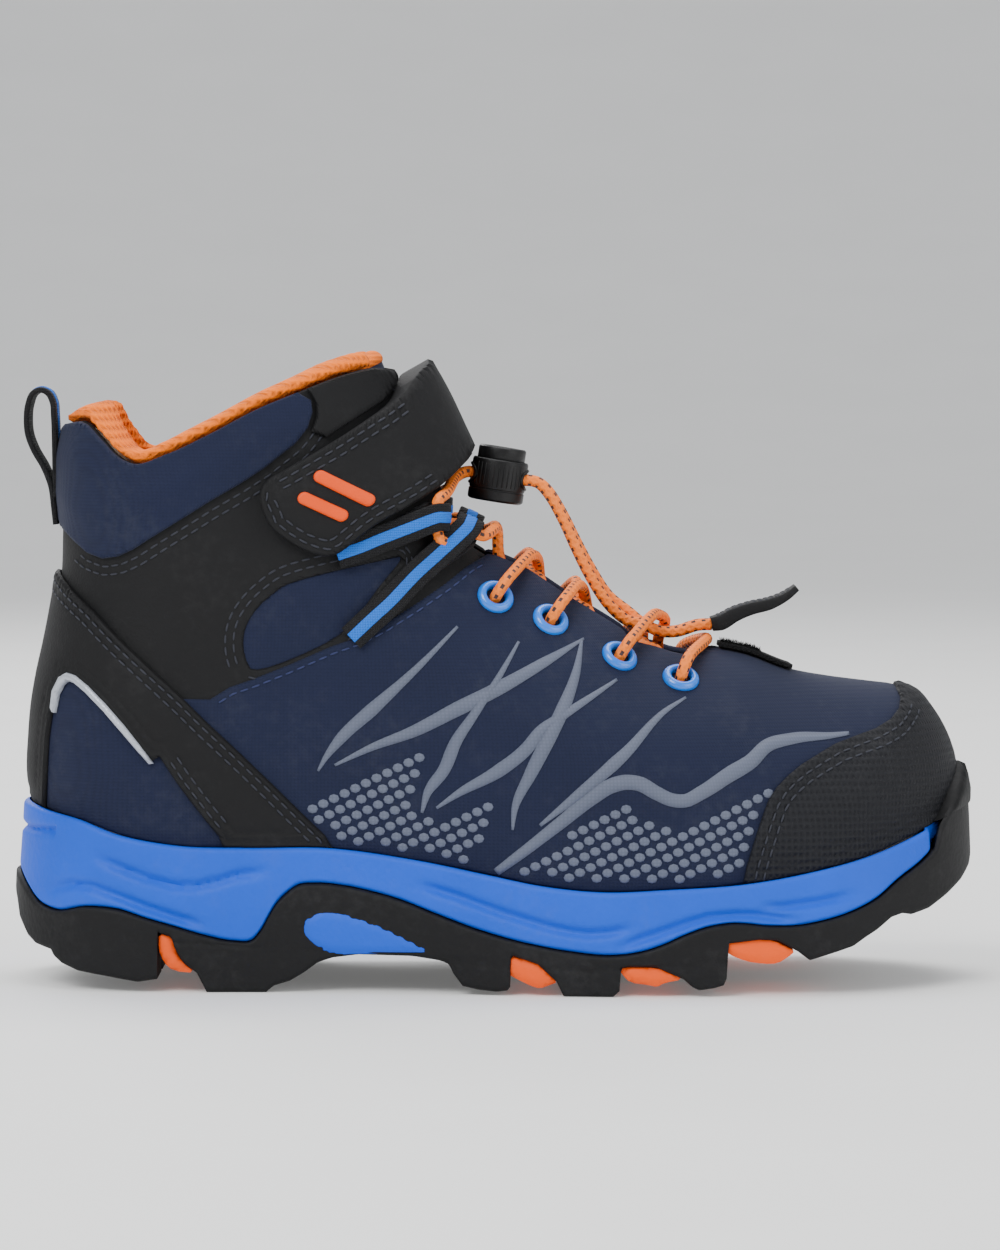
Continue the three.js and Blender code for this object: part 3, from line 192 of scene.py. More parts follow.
# The boot's surface.
boot = {"footRadius": 38.0, "heelRadius": 31.0, "cupDepth": 8.0, "columns": 300, "rows": 240}
back = smoothLine([
    [-112.8, 43], [-113.8, 50], [-113.5, 59], [-112.8, 67], [-111.6, 74], [-109.8, 82],
    [-108.2, 90], [-107, 97], [-106.4, 110], [-106, 120], [-105.8, 129], [-105.2, 134.7]], 200)
front = smoothLine([
    [110.8, 42], [111.2, 48], [110.4, 54], [108.4, 59.6], [105.2, 65], [101.4, 69.4], [97, 71.2],
    [90, 72.2], [80, 73.5], [71, 75.2], [60, 79.3], [50, 81.3], [42, 83.1], [35, 85.8],
    [29.4, 89.6], [22.6, 93.9], [12.1, 100.8], [4.2, 105.4], [-0.9, 109], [-6, 113.5],
    [-10, 120.5], [-14.5, 130], [-19, 139.5], [-23.5, 147.5]], 300)
feather = smoothLine([
    [-112.8, 43], [-107, 41.6], [-100, 40.2], [-90, 37], [-77, 34.6], [-60, 34], [-40, 34],
    [-20, 31.4], [-1, 28], [10, 25.8], [25, 24.4], [40, 25], [60, 26.5], [77, 29.6],
    [88, 32.5], [98.7, 36.5], [106, 39.6], [110.8, 42]], 300)
collar = smoothLine([
    [-105.2, 134.7], [-100, 135.6], [-95.3, 131.7], [-90.2, 127], [-87.2, 125.8], [-79.2, 128],
    [-68.9, 132.8], [-57, 139], [-46.7, 143.2], [-35.8, 147.1], [-29, 148.4], [-23.5, 147.5]], 300)
plan = smoothLine([
    [-116, -30.5, 30.5], [-80, -31.5, 31], [-50, -31.5, 29.5], [-20, -34.5, 28.5],
    [10, -39.5, 33], [30, -41.5, 37.5], [45, -41.5, 39.5], [60, -40, 40], [80, -37.5, 40.5],
    [95, -35, 39.5], [116, -32, 38]], 300)


def smoothstep(x, a, b):
    # A share t from 0 at a to 1 at b, eased as 3 t squared less 2 t cubed.
    t = np.clip((x - a) / (b - a), 0, 1)
    return t * t * (3 - 2 * t)


def spread(x, z):
    # Centre and half width: the foot's plan outline, turning into the shaft's between 55 and 105 mm.
    outer, inner = np.interp(x, plan[:, 0], plan[:, 1]), np.interp(x, plan[:, 0], plan[:, 2])
    up = smoothstep(z, 55, 105)
    shaft = 32 - 1.2 * smoothstep(z, 105, 150)
    return (outer + inner) / 2 * (1 - up), (inner - outer) / 2 * (1 - up) + shaft * up


def turnOver(d, r):
    # A quarter ellipse: the share of the half width at a distance in from the silhouette.
    f = 1 - np.minimum(d, r) / r
    return np.sqrt(np.maximum(0, 1 - f * f))


def at(line, t):
    # Points at shares t of the number of steps of a line.
    s = np.linspace(0, 1, len(line))
    return alongRows(t, s, line)


def buildSurface():
    # Coons patch of heel line, front line, feather edge and collar in the side view; the sides
    # then turn over to the silhouette by turnOver, the outer side for round < 1, inner for > 1.
    nu = boot["columns"]
    u = np.linspace(0, 1, nu + 1)
    t = (1 - np.cos(np.pi * u)) / 2
    v = np.r_[np.linspace(-1, 0, 16)[:-1], np.linspace(0, 1, boot["rows"] - 15)]
    vc = np.clip(v, 0, 1)
    c0, c1 = at(feather, t)[None], at(collar, t)[None]
    b, f = at(back, vc)[:, None], at(front, vc)[:, None]
    along, up = t[None, :, None], vc[:, None, None]
    corner = ((1 - along) * ((1 - up) * feather[0] + up * collar[0])
              + along * ((1 - up) * front[0] + up * front[-1]))
    xz = (1 - up) * c0 + up * c1 + (1 - along) * b + along * f - corner
    flat = xz.reshape(-1, 2)
    share = np.minimum(turnOver(lineDistance(flat, back), boot["heelRadius"]),
                       turnOver(lineDistance(flat, front), boot["footRadius"])).reshape(xz.shape[:2])
    share[:, 0] = 0
    share[:, -1] = 0
    centre, half = spread(xz[..., 0], xz[..., 1])
    z = xz[..., 1] + np.minimum(v, 0)[:, None] * boot["cupDepth"]
    sides = [np.stack([xz[..., 0], centre + s * half * share, z], -1) for s in (-1, 1)]
    whole = np.concatenate([sides[0], sides[1][:, ::-1][:, 1:-1]], 1)  # round runs 0..2, closed
    step = 3
    across = np.roll(whole, -step, 1) - np.roll(whole, step, 1)
    climb = np.empty_like(whole)
    n0 = 15
    upper = whole[n0:]
    climb[n0:] = np.gradient(upper, axis=0)
    climb[:n0] = [0, 0, 1]
    for _ in range(6):
        climb[n0 + 1:-1] = (climb[n0:-2] + climb[n0 + 2:] + climb[n0 + 1:-1] * 2) / 4
    normal = np.cross(across, climb)
    normal /= np.linalg.norm(normal, axis=2, keepdims=True)
    return v, whole, normal, xz


vLevels, surface, normals, sideXZ = buildSurface()
roundCount = surface.shape[1]
print("surface", surface.shape)


def sample(round_, rise, out=0.0):
    # The surface and its normal by bilinear steps between grid points, moved out along the normal.
    c = (np.asarray(round_) % 2) / 2 * roundCount
    i = np.floor(c).astype(int)
    f = (c - i)[..., None]
    i0, i1 = i % roundCount, (i + 1) % roundCount
    r = np.interp(rise, vLevels, np.arange(len(vLevels)))
    j = np.clip(np.floor(r).astype(int), 0, len(vLevels) - 2)
    g = (r - j)[..., None]

    def mix(a):
        return ((a[j, i0] * (1 - f) + a[j, i1] * f) * (1 - g)
                + (a[j + 1, i0] * (1 - f) + a[j + 1, i1] * f) * g)
    n = mix(normals)
    n /= np.linalg.norm(n, axis=-1, keepdims=True)
    p = mix(surface)
    over = np.maximum(np.asarray(rise) - 1, 0)[..., None]
    p = p + over * np.array([-15.0, 0, 60.0])
    return p + n * np.asarray(out)[..., None], n


def unwrap(points):
    # Side-view points to (round, rise) on the outer side: the nearest grid point, then two small
    # straight steps, held inside the patch.
    tree = unwrap.tree
    out = []
    n0 = 15
    half = sideXZ.shape[1]
    for x, z in points:
        _, k, _ = tree.find((x, z, 0))
        out.append(k)
    k = np.array(out)
    row, col = k // half + n0, k % half
    u, v = col / (half - 1), vLevels[row]
    p = np.asarray(points, float)
    for _ in range(3):
        a = planXZ(u, v)
        du, dv = 0.004, 0.004
        su, sv = np.where(u > 0.99, -1, 1), np.where(v > 0.99, -1, 1)
        au = (planXZ(u + du * su, v) - a) / (du * su)[:, None]
        av = (planXZ(u, v + dv * sv) - a) / (dv * sv)[:, None]
        det = au[:, 0] * av[:, 1] - au[:, 1] * av[:, 0]
        det = np.where(np.abs(det) < 1e-6, 1e-6, det)
        e = p - a
        u = np.clip(u + np.clip((e[:, 0] * av[:, 1] - e[:, 1] * av[:, 0]) / det, -0.02, 0.02), 0, 1)
        v = np.clip(v + np.clip((au[:, 0] * e[:, 1] - au[:, 1] * e[:, 0]) / det, -0.02, 0.02), 0, 1)
    # places on the silhouette itself are set exactly on the line where the two sides join
    for line, value in ((back, 0.0), (front, 1.0)):
        fine = at(line, np.linspace(0, 1, 1500))
        near = np.flatnonzero(lineDistance(p, line) < 0.35)
        if len(near):
            gaps = np.linalg.norm(p[near][:, None] - fine[None], axis=2)
            u[near], v[near] = value, gaps.argmin(1) / 1499
    return np.stack([u, v], 1)


def planXZ(u, v):
    # Side-view place of a share u along and a share v up, bilinear between grid points.
    half = sideXZ.shape[1] - 1
    c = np.clip(u, 0, 1) * half
    i = np.clip(np.floor(c).astype(int), 0, half - 1)
    f = (c - i)[..., None]
    r = np.interp(v, vLevels, np.arange(len(vLevels)))
    j = np.clip(np.floor(r).astype(int), 0, len(vLevels) - 2)
    g = (r - j)[..., None]
    a = sideXZ
    return ((a[j, i] * (1 - f) + a[j, i + 1] * f) * (1 - g)
            + (a[j + 1, i] * (1 - f) + a[j + 1, i + 1] * f) * g)


def onSide(uv, hand, out=0.0):
    # Surface points and normals for (round, rise) places on the outer (-1) or the inner (1) side.
    return sample(uv[:, 0] if hand < 0 else 2 - uv[:, 0], uv[:, 1], out)


def makeTree():
    # Every side-view grid point, for the nearest one to a place.
    flat = sideXZ[15:].reshape(-1, 2)
    tree = KDTree(len(flat))
    for i, (x, z) in enumerate(flat):
        tree.insert((x, z, 0), i)
    tree.balance()
    return tree


unwrap.tree = makeTree()
print("side view unwrapped")


# Materials.
def newGroup(name, inputs, outputs):
    # A group with a Vector input, number inputs with their values, and number outputs.
    group = bpy.data.node_groups.new(name, "ShaderNodeTree")
    group.interface.new_socket("Vector", in_out="INPUT", socket_type="NodeSocketVector")
    for label, value in inputs:
        socket = group.interface.new_socket(label, in_out="INPUT", socket_type="NodeSocketFloat")
        socket.default_value = value
    for label in outputs:
        group.interface.new_socket(label, in_out="OUTPUT", socket_type="NodeSocketFloat")
    return group, group.nodes.new("NodeGroupInput"), group.nodes.new("NodeGroupOutput")


def addNode(tree, kind, links=(), **values):
    # A shader node with its settings, and each input linked or given its value.
    node = tree.nodes.new(kind)
    for key, value in values.items():
        setattr(node, key, value)
    for socket, source in links:
        if hasattr(source, "links"):
            tree.links.new(source, node.inputs[socket])
        else:
            node.inputs[socket].default_value = source
    return node


def mathNode(tree, operation, a, b=0.0):
    # One sum, product or other operation on a and b.
    return addNode(tree, "ShaderNodeMath", [(0, a), (1, b)], operation=operation).outputs[0]


def mixNode(tree, factor, a, b):
    # Colour a where the factor is 0 and colour b where it is 1.
    links = [(0, factor), (6, a), (7, b)]
    return addNode(tree, "ShaderNodeMix", links, data_type="RGBA").outputs[2]


def noiseNode(tree, place, scale, detail=2.0, rough=0.5):
    # Soft noise from 0 to 1 at a place.
    links = [("Vector", place), ("Scale", scale), ("Detail", detail), ("Roughness", rough)]
    return addNode(tree, "ShaderNodeTexNoise", links).outputs[0]


def weaveGroup():
    # Two crossed sine waves for threads; the height is the greater of the two, broken by fine noise. The
    # mask, their product, is high where the threads cross, and a painted highlight goes there.
    g, i, o = newGroup("weave", [("Threads", 1400.0)], ["Height", "Mask"])
    split = addNode(g, "ShaderNodeSeparateXYZ", [(0, i.outputs["Vector"])])
    diagonal = mathNode(g, "ADD", split.outputs[0], split.outputs[1])
    waves = []
    for axis in (diagonal, split.outputs[2]):
        scaled = mathNode(g, "MULTIPLY", axis, i.outputs["Threads"])
        waves.append(mathNode(g, "ABSOLUTE", mathNode(g, "SINE", scaled)))
    high = mathNode(g, "MAXIMUM", *waves)
    noise = noiseNode(g, i.outputs["Vector"], 900.0)
    height = mathNode(g, "ADD", high, mathNode(g, "MULTIPLY", noise, 0.6))
    g.links.new(height, o.inputs["Height"])
    # the mask marks the thread crossings, where the material lays a painted highlight
    g.links.new(mathNode(g, "MULTIPLY", *waves), o.inputs["Mask"])
    return g


def grainGroup():
    # Fine pebbled grain: smooth Voronoi cells under noise, with a slow tone change.
    g, i, o = newGroup("grain", [("Scale", 900.0)], ["Height", "Tone"])
    place = i.outputs["Vector"]
    cells = addNode(g, "ShaderNodeTexVoronoi", [("Vector", place), ("Scale", i.outputs["Scale"])])
    fine = mathNode(g, "MULTIPLY", noiseNode(g, place, 2600.0, 3.0), 0.5)
    g.links.new(mathNode(g, "ADD", cells.outputs["Distance"], fine), o.inputs["Height"])
    g.links.new(noiseNode(g, place, 38.0, 4.0), o.inputs["Tone"])
    return g


def dustGroup():
    # Two clouds of noise multiplied give light dust and faint scuffs.
    g, i, o = newGroup("dust", [("Amount", 0.15)], ["Mask"])
    place = i.outputs["Vector"]
    clouds = mathNode(g, "MULTIPLY", noiseNode(g, place, 60.0, 6.0), noiseNode(g, place, 420.0, 4.0, 0.7))
    level = addNode(g, "ShaderNodeMapRange", [("Value", clouds), ("From Min", 0.26), ("From Max", 0.5)])
    g.links.new(mathNode(g, "MULTIPLY", level.outputs[0], i.outputs["Amount"]), o.inputs["Mask"])
    return g


groups = {"weave": weaveGroup(), "grain": grainGroup(), "dust": dustGroup()}


def newMaterial(name):
    # An empty material, its tree and its main shader.
    m = bpy.data.materials.new(name)
    m.use_nodes = True
    return m, m.node_tree, m.node_tree.nodes["Principled BSDF"]


def addBump(t, shader, height, strength, distance):
    # A height becomes a tilt of the surface in shading.
    links = [("Height", height), ("Strength", strength), ("Distance", distance)]
    t.links.new(addNode(t, "ShaderNodeBump", links).outputs[0], shader.inputs["Normal"])


def makeMaterial(name, colour, rough, surfaceKind, scale, bump, dust=0.12, sheen=0.0, coat=0.0,
                 tone=0.18, metal=0.0):
    # Base colour is varied by the slow tone, lightened by a painted highlight on the thread crossings of
    # woven finishes, lightened by dust, and the surface group drives a bump.
    m, t, shader = newMaterial(name)
    place = addNode(t, "ShaderNodeTexCoord").outputs["Object"]
    grain, weave, dustNode = [addNode(t, "ShaderNodeGroup", node_tree=groups[kind])
                              for kind in ("grain", "weave", "dust")]
    for node in (grain, weave, dustNode):
        t.links.new(place, node.inputs["Vector"])
    dustNode.inputs["Amount"].default_value = dust
    linear = [((c / 255 + 0.055) / 1.055) ** 2.4 if c > 10 else c / 255 / 12.92 for c in colour]
    result = mixNode(t, grain.outputs["Tone"], (*[c * (1 - tone) for c in linear], 1),
                     (*[min(1, c * (1 + tone)) for c in linear], 1))
    if surfaceKind == "weave":
        weave.inputs["Threads"].default_value = scale
        # painted highlight: woven finishes are lightened by a fifth where the threads cross, as if lit
        result = mixNode(t, weave.outputs["Mask"], result, (*[min(1, c * 1.2 + 0.001) for c in linear], 1))
        height = weave.outputs["Height"]
    else:
        grain.inputs["Scale"].default_value = scale
        height = grain.outputs["Height"]
    dusty = mixNode(t, dustNode.outputs["Mask"], result, (0.2, 0.2, 0.2, 1))
    t.links.new(dusty, shader.inputs["Base Color"])
    addBump(t, shader, height, *bump)
    shader.inputs["Roughness"].default_value = rough
    shader.inputs["Metallic"].default_value = metal
    shader.inputs["Specular IOR Level"].default_value = 0.28 if not (coat or metal) else 0.5
    if sheen:
        shader.inputs["Sheen Weight"].default_value = sheen
        shader.inputs["Sheen Roughness"].default_value = 0.5
    if coat:
        shader.inputs["Coat Weight"].default_value = coat
        shader.inputs["Coat Roughness"].default_value = 0.15
    return m


# each finish: colour in 0 to 255, roughness, its surface group and that group's scale, bump strength
# and distance, and whatever differs from the plain finish
finishes = {
    "navy": [(12, 20, 46), 0.8, "weave", 3800.0, (0.35, 0.0002), {"sheen": 0.03, "dust": 0.05}],
    "black": [(9, 9, 11), 0.7, "grain", 1500.0, (0.3, 0.0002), {"dust": 0.035}],
    "ripstop": [(15, 16, 21), 0.7, "weave", 1900.0, (0.9, 0.0004), {"dust": 0.04}],
    "foam": [(2, 78, 205), 0.55, "grain", 700.0, (0.25, 0.0003), {"dust": 0.07}],
    "rubber": [(8, 8, 10), 0.66, "grain", 800.0, (0.25, 0.0003), {"dust": 0.05}],
    "orangeRubber": [(240, 84, 0), 0.6, "grain", 800.0, (0.25, 0.0003), {"dust": 0.06}],
    "mesh": [(250, 114, 4), 0.85, "weave", 3000.0, (0.8, 0.0005), {"sheen": 0.03, "dust": 0.04}],
    "board": [(176, 155, 118), 0.9, "grain", 600.0, (0.3, 0.0003), {}],
    "insole": [(40, 41, 47), 0.85, "weave", 3000.0, (0.4, 0.0003), {}],
    "stiffener": [(205, 200, 188), 0.8, "grain", 900.0, (0.2, 0.0002), {}],
    "cream": [(228, 220, 196), 0.9, "grain", 500.0, (0.5, 0.0004), {}],
    "silver": [(176, 181, 190), 0.38, "grain", 2600.0, (0.4, 0.0002), {"metal": 0.45, "dust": 0.05}],
    "gloss": [(4, 112, 220), 0.28, "grain", 500.0, (0.05, 0.0001), {"coat": 0.6, "dust": 0.05}],
    "webBlue": [(14, 98, 196), 0.7, "weave", 5200.0, (0.7, 0.0003), {"sheen": 0.03, "dust": 0.04}],
    "webBlack": [(12, 12, 15), 0.75, "weave", 5200.0, (0.8, 0.0004), {"sheen": 0.02, "dust": 0.04}],
    "plastic": [(9, 9, 10), 0.42, "grain", 2400.0, (0.15, 0.0001), {"dust": 0.06}],
    "steel": [(176, 179, 184), 0.3, "grain", 3000.0, (0.1, 0.0001), {"metal": 1.0, "dust": 0.0}],
    "bar": [(246, 78, 0), 0.5, "grain", 1500.0, (0.2, 0.0002), {"dust": 0.03}],
    "hook": [(12, 12, 14), 0.95, "grain", 2000.0, (1.0, 0.0006), {}],
    "print": [(84, 90, 106), 0.6, "weave", 3800.0, (0.2, 0.0001), {"dust": 0.05}],
    "thread": [(44, 46, 54), 0.65, "weave", 9000.0, (0.4, 0.0001), {"dust": 0.02}],
    "navyThread": [(40, 48, 84), 0.65, "weave", 9000.0, (0.4, 0.0001), {"dust": 0.02}],
    "lining": [(250, 114, 4), 0.88, "weave", 1500.0, (1.0, 0.0008), {"sheen": 0.03, "dust": 0.03}],
}
paint = {}
for kind, (*values, more) in finishes.items():
    paint[kind] = makeMaterial(kind, *values, **more)


flecks = {"strands": 4, "pitch": 2.3, "rows": 3, "cord": (0.94, 0.2, 0.008, 1),
          "dark": (0.018, 0.016, 0.02, 1)}


def laceMaterial():
    # Flecks from the cord's own UV: pairs of short dark dashes down its length, over a braided bump.
    m, t, shader = newMaterial("lace")
    uv = addNode(t, "ShaderNodeUVMap", uv_map="along").outputs[0]
    split = addNode(t, "ShaderNodeSeparateXYZ", [(0, uv)])
    along, round_ = split.outputs[0], split.outputs[1]
    turn = mathNode(t, "MULTIPLY", round_, 6.28318 * flecks["strands"])
    step = mathNode(t, "MULTIPLY", along, 6.28318 / flecks["pitch"])
    left = mathNode(t, "SINE", mathNode(t, "ADD", step, turn))
    right = mathNode(t, "SINE", mathNode(t, "SUBTRACT", step, turn))
    braid = mathNode(t, "MAXIMUM", left, right)
    fleckA = mathNode(t, "GREATER_THAN", mathNode(t, "SINE", step), 0.35)
    around = mathNode(t, "SINE", mathNode(t, "MULTIPLY", round_, 6.28318 * flecks["rows"]))
    fleckB = mathNode(t, "GREATER_THAN", around, 0.55)
    mask = mathNode(t, "MULTIPLY", mathNode(t, "MULTIPLY", fleckA, fleckB), 0.97)
    t.links.new(mixNode(t, mask, flecks["cord"], flecks["dark"]), shader.inputs["Base Color"])
    addBump(t, shader, braid, 0.5, 0.0003)
    shader.inputs["Roughness"].default_value = 0.7
    return m


paint["lace"] = laceMaterial()
print("materials", len(paint))


def finishPiece(obj, kind, body="upper", nodesReplaced=()):
    # Material, slot, body and the CAD nodes it stands for, in one place.
    obj.data.materials.clear()
    obj.data.materials.append(paint[kind])
    if body:
        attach(obj, body)
    if nodesReplaced:
        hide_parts(*nodesReplaced)
    return obj


# Panels over the surface.
def offsetLoop(loop, amount):
    # Points moved in from a closed loop, dropped where they come nearer to it than they should.
    p = densify(loop, 0.9)
    d = np.roll(p, -1, 0) - np.roll(p, 1, 0)
    n = np.stack([-d[:, 1], d[:, 0]], 1) / (np.linalg.norm(d, axis=1, keepdims=True) + 1e-9)
    area = ((p[:, 0] * np.roll(p[:, 1], -1)) - (np.roll(p[:, 0], -1) * p[:, 1])).sum()
    q = p + n * amount * np.sign(area)
    keep = (lineDistance(q, np.vstack([p, p[:1]])) > abs(amount) * 0.93)
    return q, keep


def triangulate(loops, points):
    # Delaunay triangles of the points inside the first loop and outside the others.
    everything = [tuple(q) for q in np.vstack(list(loops) + [points])]
    edges, start = [], 0
    for loop in loops:
        n = len(loop)
        edges += [(start + k, start + (k + 1) % n) for k in range(n)]
        start += n
    verts, _, faces, _, _, _ = delaunay_2d_cdt([Vector(q) for q in everything], edges, [], 0, 1e-5)
    verts = np.array([[v.x, v.y] for v in verts])
    faces = np.array([f for f in faces if len(f) == 3])
    middle = verts[faces].mean(1)
    keep = insideOf(middle, loops[0])
    for hole in loops[1:]:
        keep &= ~insideOf(middle, hole)
    return verts, faces[keep]


def rimEdges(tris):
    # The directed edges that only one triangle has.
    directed = np.vstack([tris[:, [0, 1]], tris[:, [1, 2]], tris[:, [2, 0]]])
    _, index, counts = np.unique(np.sort(directed, 1), axis=0, return_index=True, return_counts=True)
    return directed[index[counts == 1]]


def shell(tris, rim, n):
    # Top triangles, the same below turned over, and walls on the rim; the lower points follow n later.
    side = np.vstack([np.stack([rim[:, 0], rim[:, 1], rim[:, 1] + n], 1),
                      np.stack([rim[:, 0], rim[:, 1] + n, rim[:, 0] + n], 1)])
    return np.vstack([tris, tris[:, ::-1] + n, side[:, ::-1]])


def lattice(line, step, slant=0.0):
    # Places at even steps over a loop's box, every second row moved along by slant, kept inside it.
    (x0, y0), (x1, y1) = line.min(0), line.max(0)
    lead = step / 2 if slant else 0.0
    gx, gy = np.meshgrid(np.arange(x0 + lead, x1, step), np.arange(y0 + lead, y1, step))
    gx[1::2] += slant
    places = np.stack([gx.ravel(), gy.ravel()], 1)
    return places[insideOf(places, line)]


uvScale = np.array([200.0, 110.0])


def toUV(points):
    return unwrap(points) * uvScale


def panelMesh(loop, hands, low, thick, step=1.7, holes=(), grooves=(), groove=0.22, puff=0.0, puffWide=8.0,
              shape=None, softEdge=0.55):
    # A sheet cut to a side-view outline: a rounded-edged height field over the boot's surface, closed
    # below by the same sheet at its low offset. Both sides of the boot join on the silhouette.
    outline = densify(loop, 0.9)
    holeLines = [densify(h, 0.9) for h in holes]
    rims = [outline] + holeLines
    extra = []
    for line in rims:
        for d in (0.25, 0.6, 1.2) + tuple(g + k for g in grooves for k in (-0.4, 0, 0.4)):
            sign = 1 if line is outline else -1
            q, keep = offsetLoop(line, d * sign)
            extra.append(q[keep])
    uvRims = [toUV(line) for line in rims]
    cleaned = []
    for line in uvRims:
        near = np.linalg.norm(line - np.roll(line, 1, 0), axis=1) > 0.03
        cleaned.append(line[near])
    outer = cleaned[0]
    filling = lattice(outer, step, step / 2)
    filling = filling[lineDistance(filling, np.vstack([outer, outer[:1]])) > step * 0.5]
    extraUV = toUV(np.vstack(extra))
    extraUV = extraUV[insideOf(extraUV, outer)]
    extraUV = extraUV[(extraUV[:, 0] > 1.0) & (extraUV[:, 0] < uvScale[0] - 1.0)]
    for line in cleaned[1:]:
        filling, extraUV = filling[~insideOf(filling, line)], extraUV[~insideOf(extraUV, line)]
    verts, faces = triangulate(cleaned, np.vstack([filling, extraUV]))
    uv = verts / uvScale
    flat = planXZ(uv[:, 0], uv[:, 1])
    middle, _ = sample(uv[:, 0], uv[:, 1])
    onSeam = (uv[:, 0] < 1e-4) | (uv[:, 0] > 1 - 1e-4)
    # distance to the real edges in space: rim points that lie on the silhouette are not edges
    d = np.full(len(uv), 1e9)
    for line in rims:
        lineUV = unwrap(line)
        free = (lineUV[:, 0] > 1e-3) & (lineUV[:, 0] < 1 - 1e-3)
        spots, _ = sample(lineUV[:, 0], lineUV[:, 1])
        a, b = spots, np.roll(spots, -1, 0)
        use = free | np.roll(free, -1)
        a, b = a[use], b[use]
        if not len(a):
            continue
        for i in range(0, len(middle), 3000):
            p = middle[i:i + 3000, None, :]
            ab = (b - a)[None]
            f = np.clip(((p - a) * ab).sum(2) / ((ab**2).sum(2) + 1e-9), 0, 1)[..., None]
            d[i:i + 3000] = np.minimum(d[i:i + 3000], np.sqrt(((p - a - f * ab)**2).sum(2)).min(1))
    rise = turnOver(d, softEdge)
    out = low + thick * (0.45 + 0.55 * rise)
    for g in grooves:
        out = out - groove * np.exp(-((d - g) / 0.35) ** 2)
    if puff:
        out = out + puff * smoothstep(d, 0.5, puffWide)
    if shape is not None:
        out = out + shape(flat, uv, d)
    points, tris, count = [], [], 0
    rim = rimEdges(faces)
    if len(hands) == 2:  # the two sides join on the silhouette, so no wall stands there
        rim = rim[~onSeam[rim].all(1)]
    for hand in hands:
        top, bottom = [onSide(uv, hand, o)[0] for o in (out, np.full(len(uv), low))]
        points += [top, bottom]
        body = shell(faces, rim, len(uv))
        if hand > 0:
            body = body[:, ::-1]
        tris.append(body + count)
        count += 2 * len(uv)
    return np.vstack(points), np.vstack(tris)


def panel(name, kind, loop, hands=(-1, 1), low=0.0, thick=1.1, body="upper", replaced=(), **more):
    # One sheet, or its mirror pair, on the boot: a closed loop of the side view laid on the surface.
    points, tris = panelMesh(loop, hands, low, thick, **more)
    obj = makeMesh(name, points, tris)
    tidyMesh(obj, 0.00001)
    sharpen(obj, 50)
    finishPiece(obj, kind, body, replaced)
    print(name, len(obj.data.polygons))
    return obj


def stitches(name, kind, lines, hands, out, body="upper", length=2.1, gapLength=0.8, width=0.5):
    # Short rounded dashes along side-view lines, each a small squashed tube lying in the surface.
    points, faces, count = [], [], 0
    profile = np.array([[-0.5, 0.0], [-0.36, 0.42], [0.36, 0.42], [0.5, 0.0]])
    for line, hand in [(l, h) for l in lines for h in hands]:
        dense = densify(line, 0.25, closed=False)
        uv = unwrap(dense)
        p, n = onSide(uv, hand, np.full(len(uv), out))
        s = arcLength(p)
        if s[-1] < length:
            continue
        starts = np.arange(0.2, s[-1] - length, length + gapLength)
        marks = np.array([0.0, 0.12, 0.5, 0.88, 1.0])
        sizes = np.array([0.25, 0.85, 1.0, 0.85, 0.25])
        t = starts[:, None] + marks * length
        q, nn = alongRows(t, s, p), alongRows(t, s, n)
        nn /= np.linalg.norm(nn, axis=-1, keepdims=True)
        run = q[:, -1:] - q[:, :1]
        run = run / (np.linalg.norm(run, axis=-1, keepdims=True) + 1e-9)
        wide = np.cross(nn, np.broadcast_to(run, nn.shape))
        across, up = (profile * [width, width * 0.9])[None, None].transpose(3, 0, 1, 2)[..., None]
        thin = sizes[None, :, None, None]
        grid = q[:, :, None] + wide[:, :, None] * across * thin + nn[:, :, None] * up * thin
        for k in range(len(starts)):
            faces += ringFaces(5, 4, count + k * 20)
        points.append(grid.reshape(-1, 3))
        count += len(starts) * 20
    obj = tidyMesh(makeMesh(name, np.vstack(points), faces))
    finishPiece(obj, kind, body)
    print(name, len(obj.data.polygons))
    return obj


def parallel(line, amount):
    # An open line moved sideways (left of its direction for a positive amount).
    p = densify(line, 0.6, closed=False)
    d = np.gradient(p, axis=0)
    n = np.stack([-d[:, 1], d[:, 0]], 1) / (np.linalg.norm(d, axis=1, keepdims=True) + 1e-9)
    k = np.ones(5) / 5
    n = np.stack([np.convolve(np.pad(n[:, i], 2, mode="edge"), k, "valid") for i in (0, 1)], 1)
    return (p + n * amount)[2:-2]


# Bands, tubes, front line.
def curveThrough(points, count):
    # Centripetal Catmull-Rom through the points, evaluated span by span, then spaced evenly.
    p = np.asarray(points, float)
    p = np.vstack([2 * p[0] - p[1], p, 2 * p[-1] - p[-2]])
    out = []
    for i in range(1, len(p) - 2):
        a, b, c, d = p[i - 1:i + 3]
        t = np.cumsum([0] + [max(np.linalg.norm(q - r) ** 0.5, 1e-4) for q, r in ((b, a), (c, b), (d, c))])
        x = np.linspace(t[1], t[2], 13)[:-1, None]
        one = (t[1] - x) / (t[1] - t[0]) * a + (x - t[0]) / (t[1] - t[0]) * b
        two = (t[2] - x) / (t[2] - t[1]) * b + (x - t[1]) / (t[2] - t[1]) * c
        three = (t[3] - x) / (t[3] - t[2]) * c + (x - t[2]) / (t[3] - t[2]) * d
        four = (t[2] - x) / (t[2] - t[0]) * one + (x - t[0]) / (t[2] - t[0]) * two
        five = (t[3] - x) / (t[3] - t[1]) * two + (x - t[1]) / (t[3] - t[1]) * three
        out.append((t[2] - x) / (t[2] - t[1]) * four + (x - t[1]) / (t[2] - t[1]) * five)
    p = np.vstack(out + [p[-2:-1]])
    s = arcLength(p)
    return alongRows(np.linspace(0, s[-1], count), s, p)


def unit(v):
    # A direction of length 1.
    v = np.asarray(v, float)
    return v / (np.linalg.norm(v, axis=-1, keepdims=True) + 1e-12)


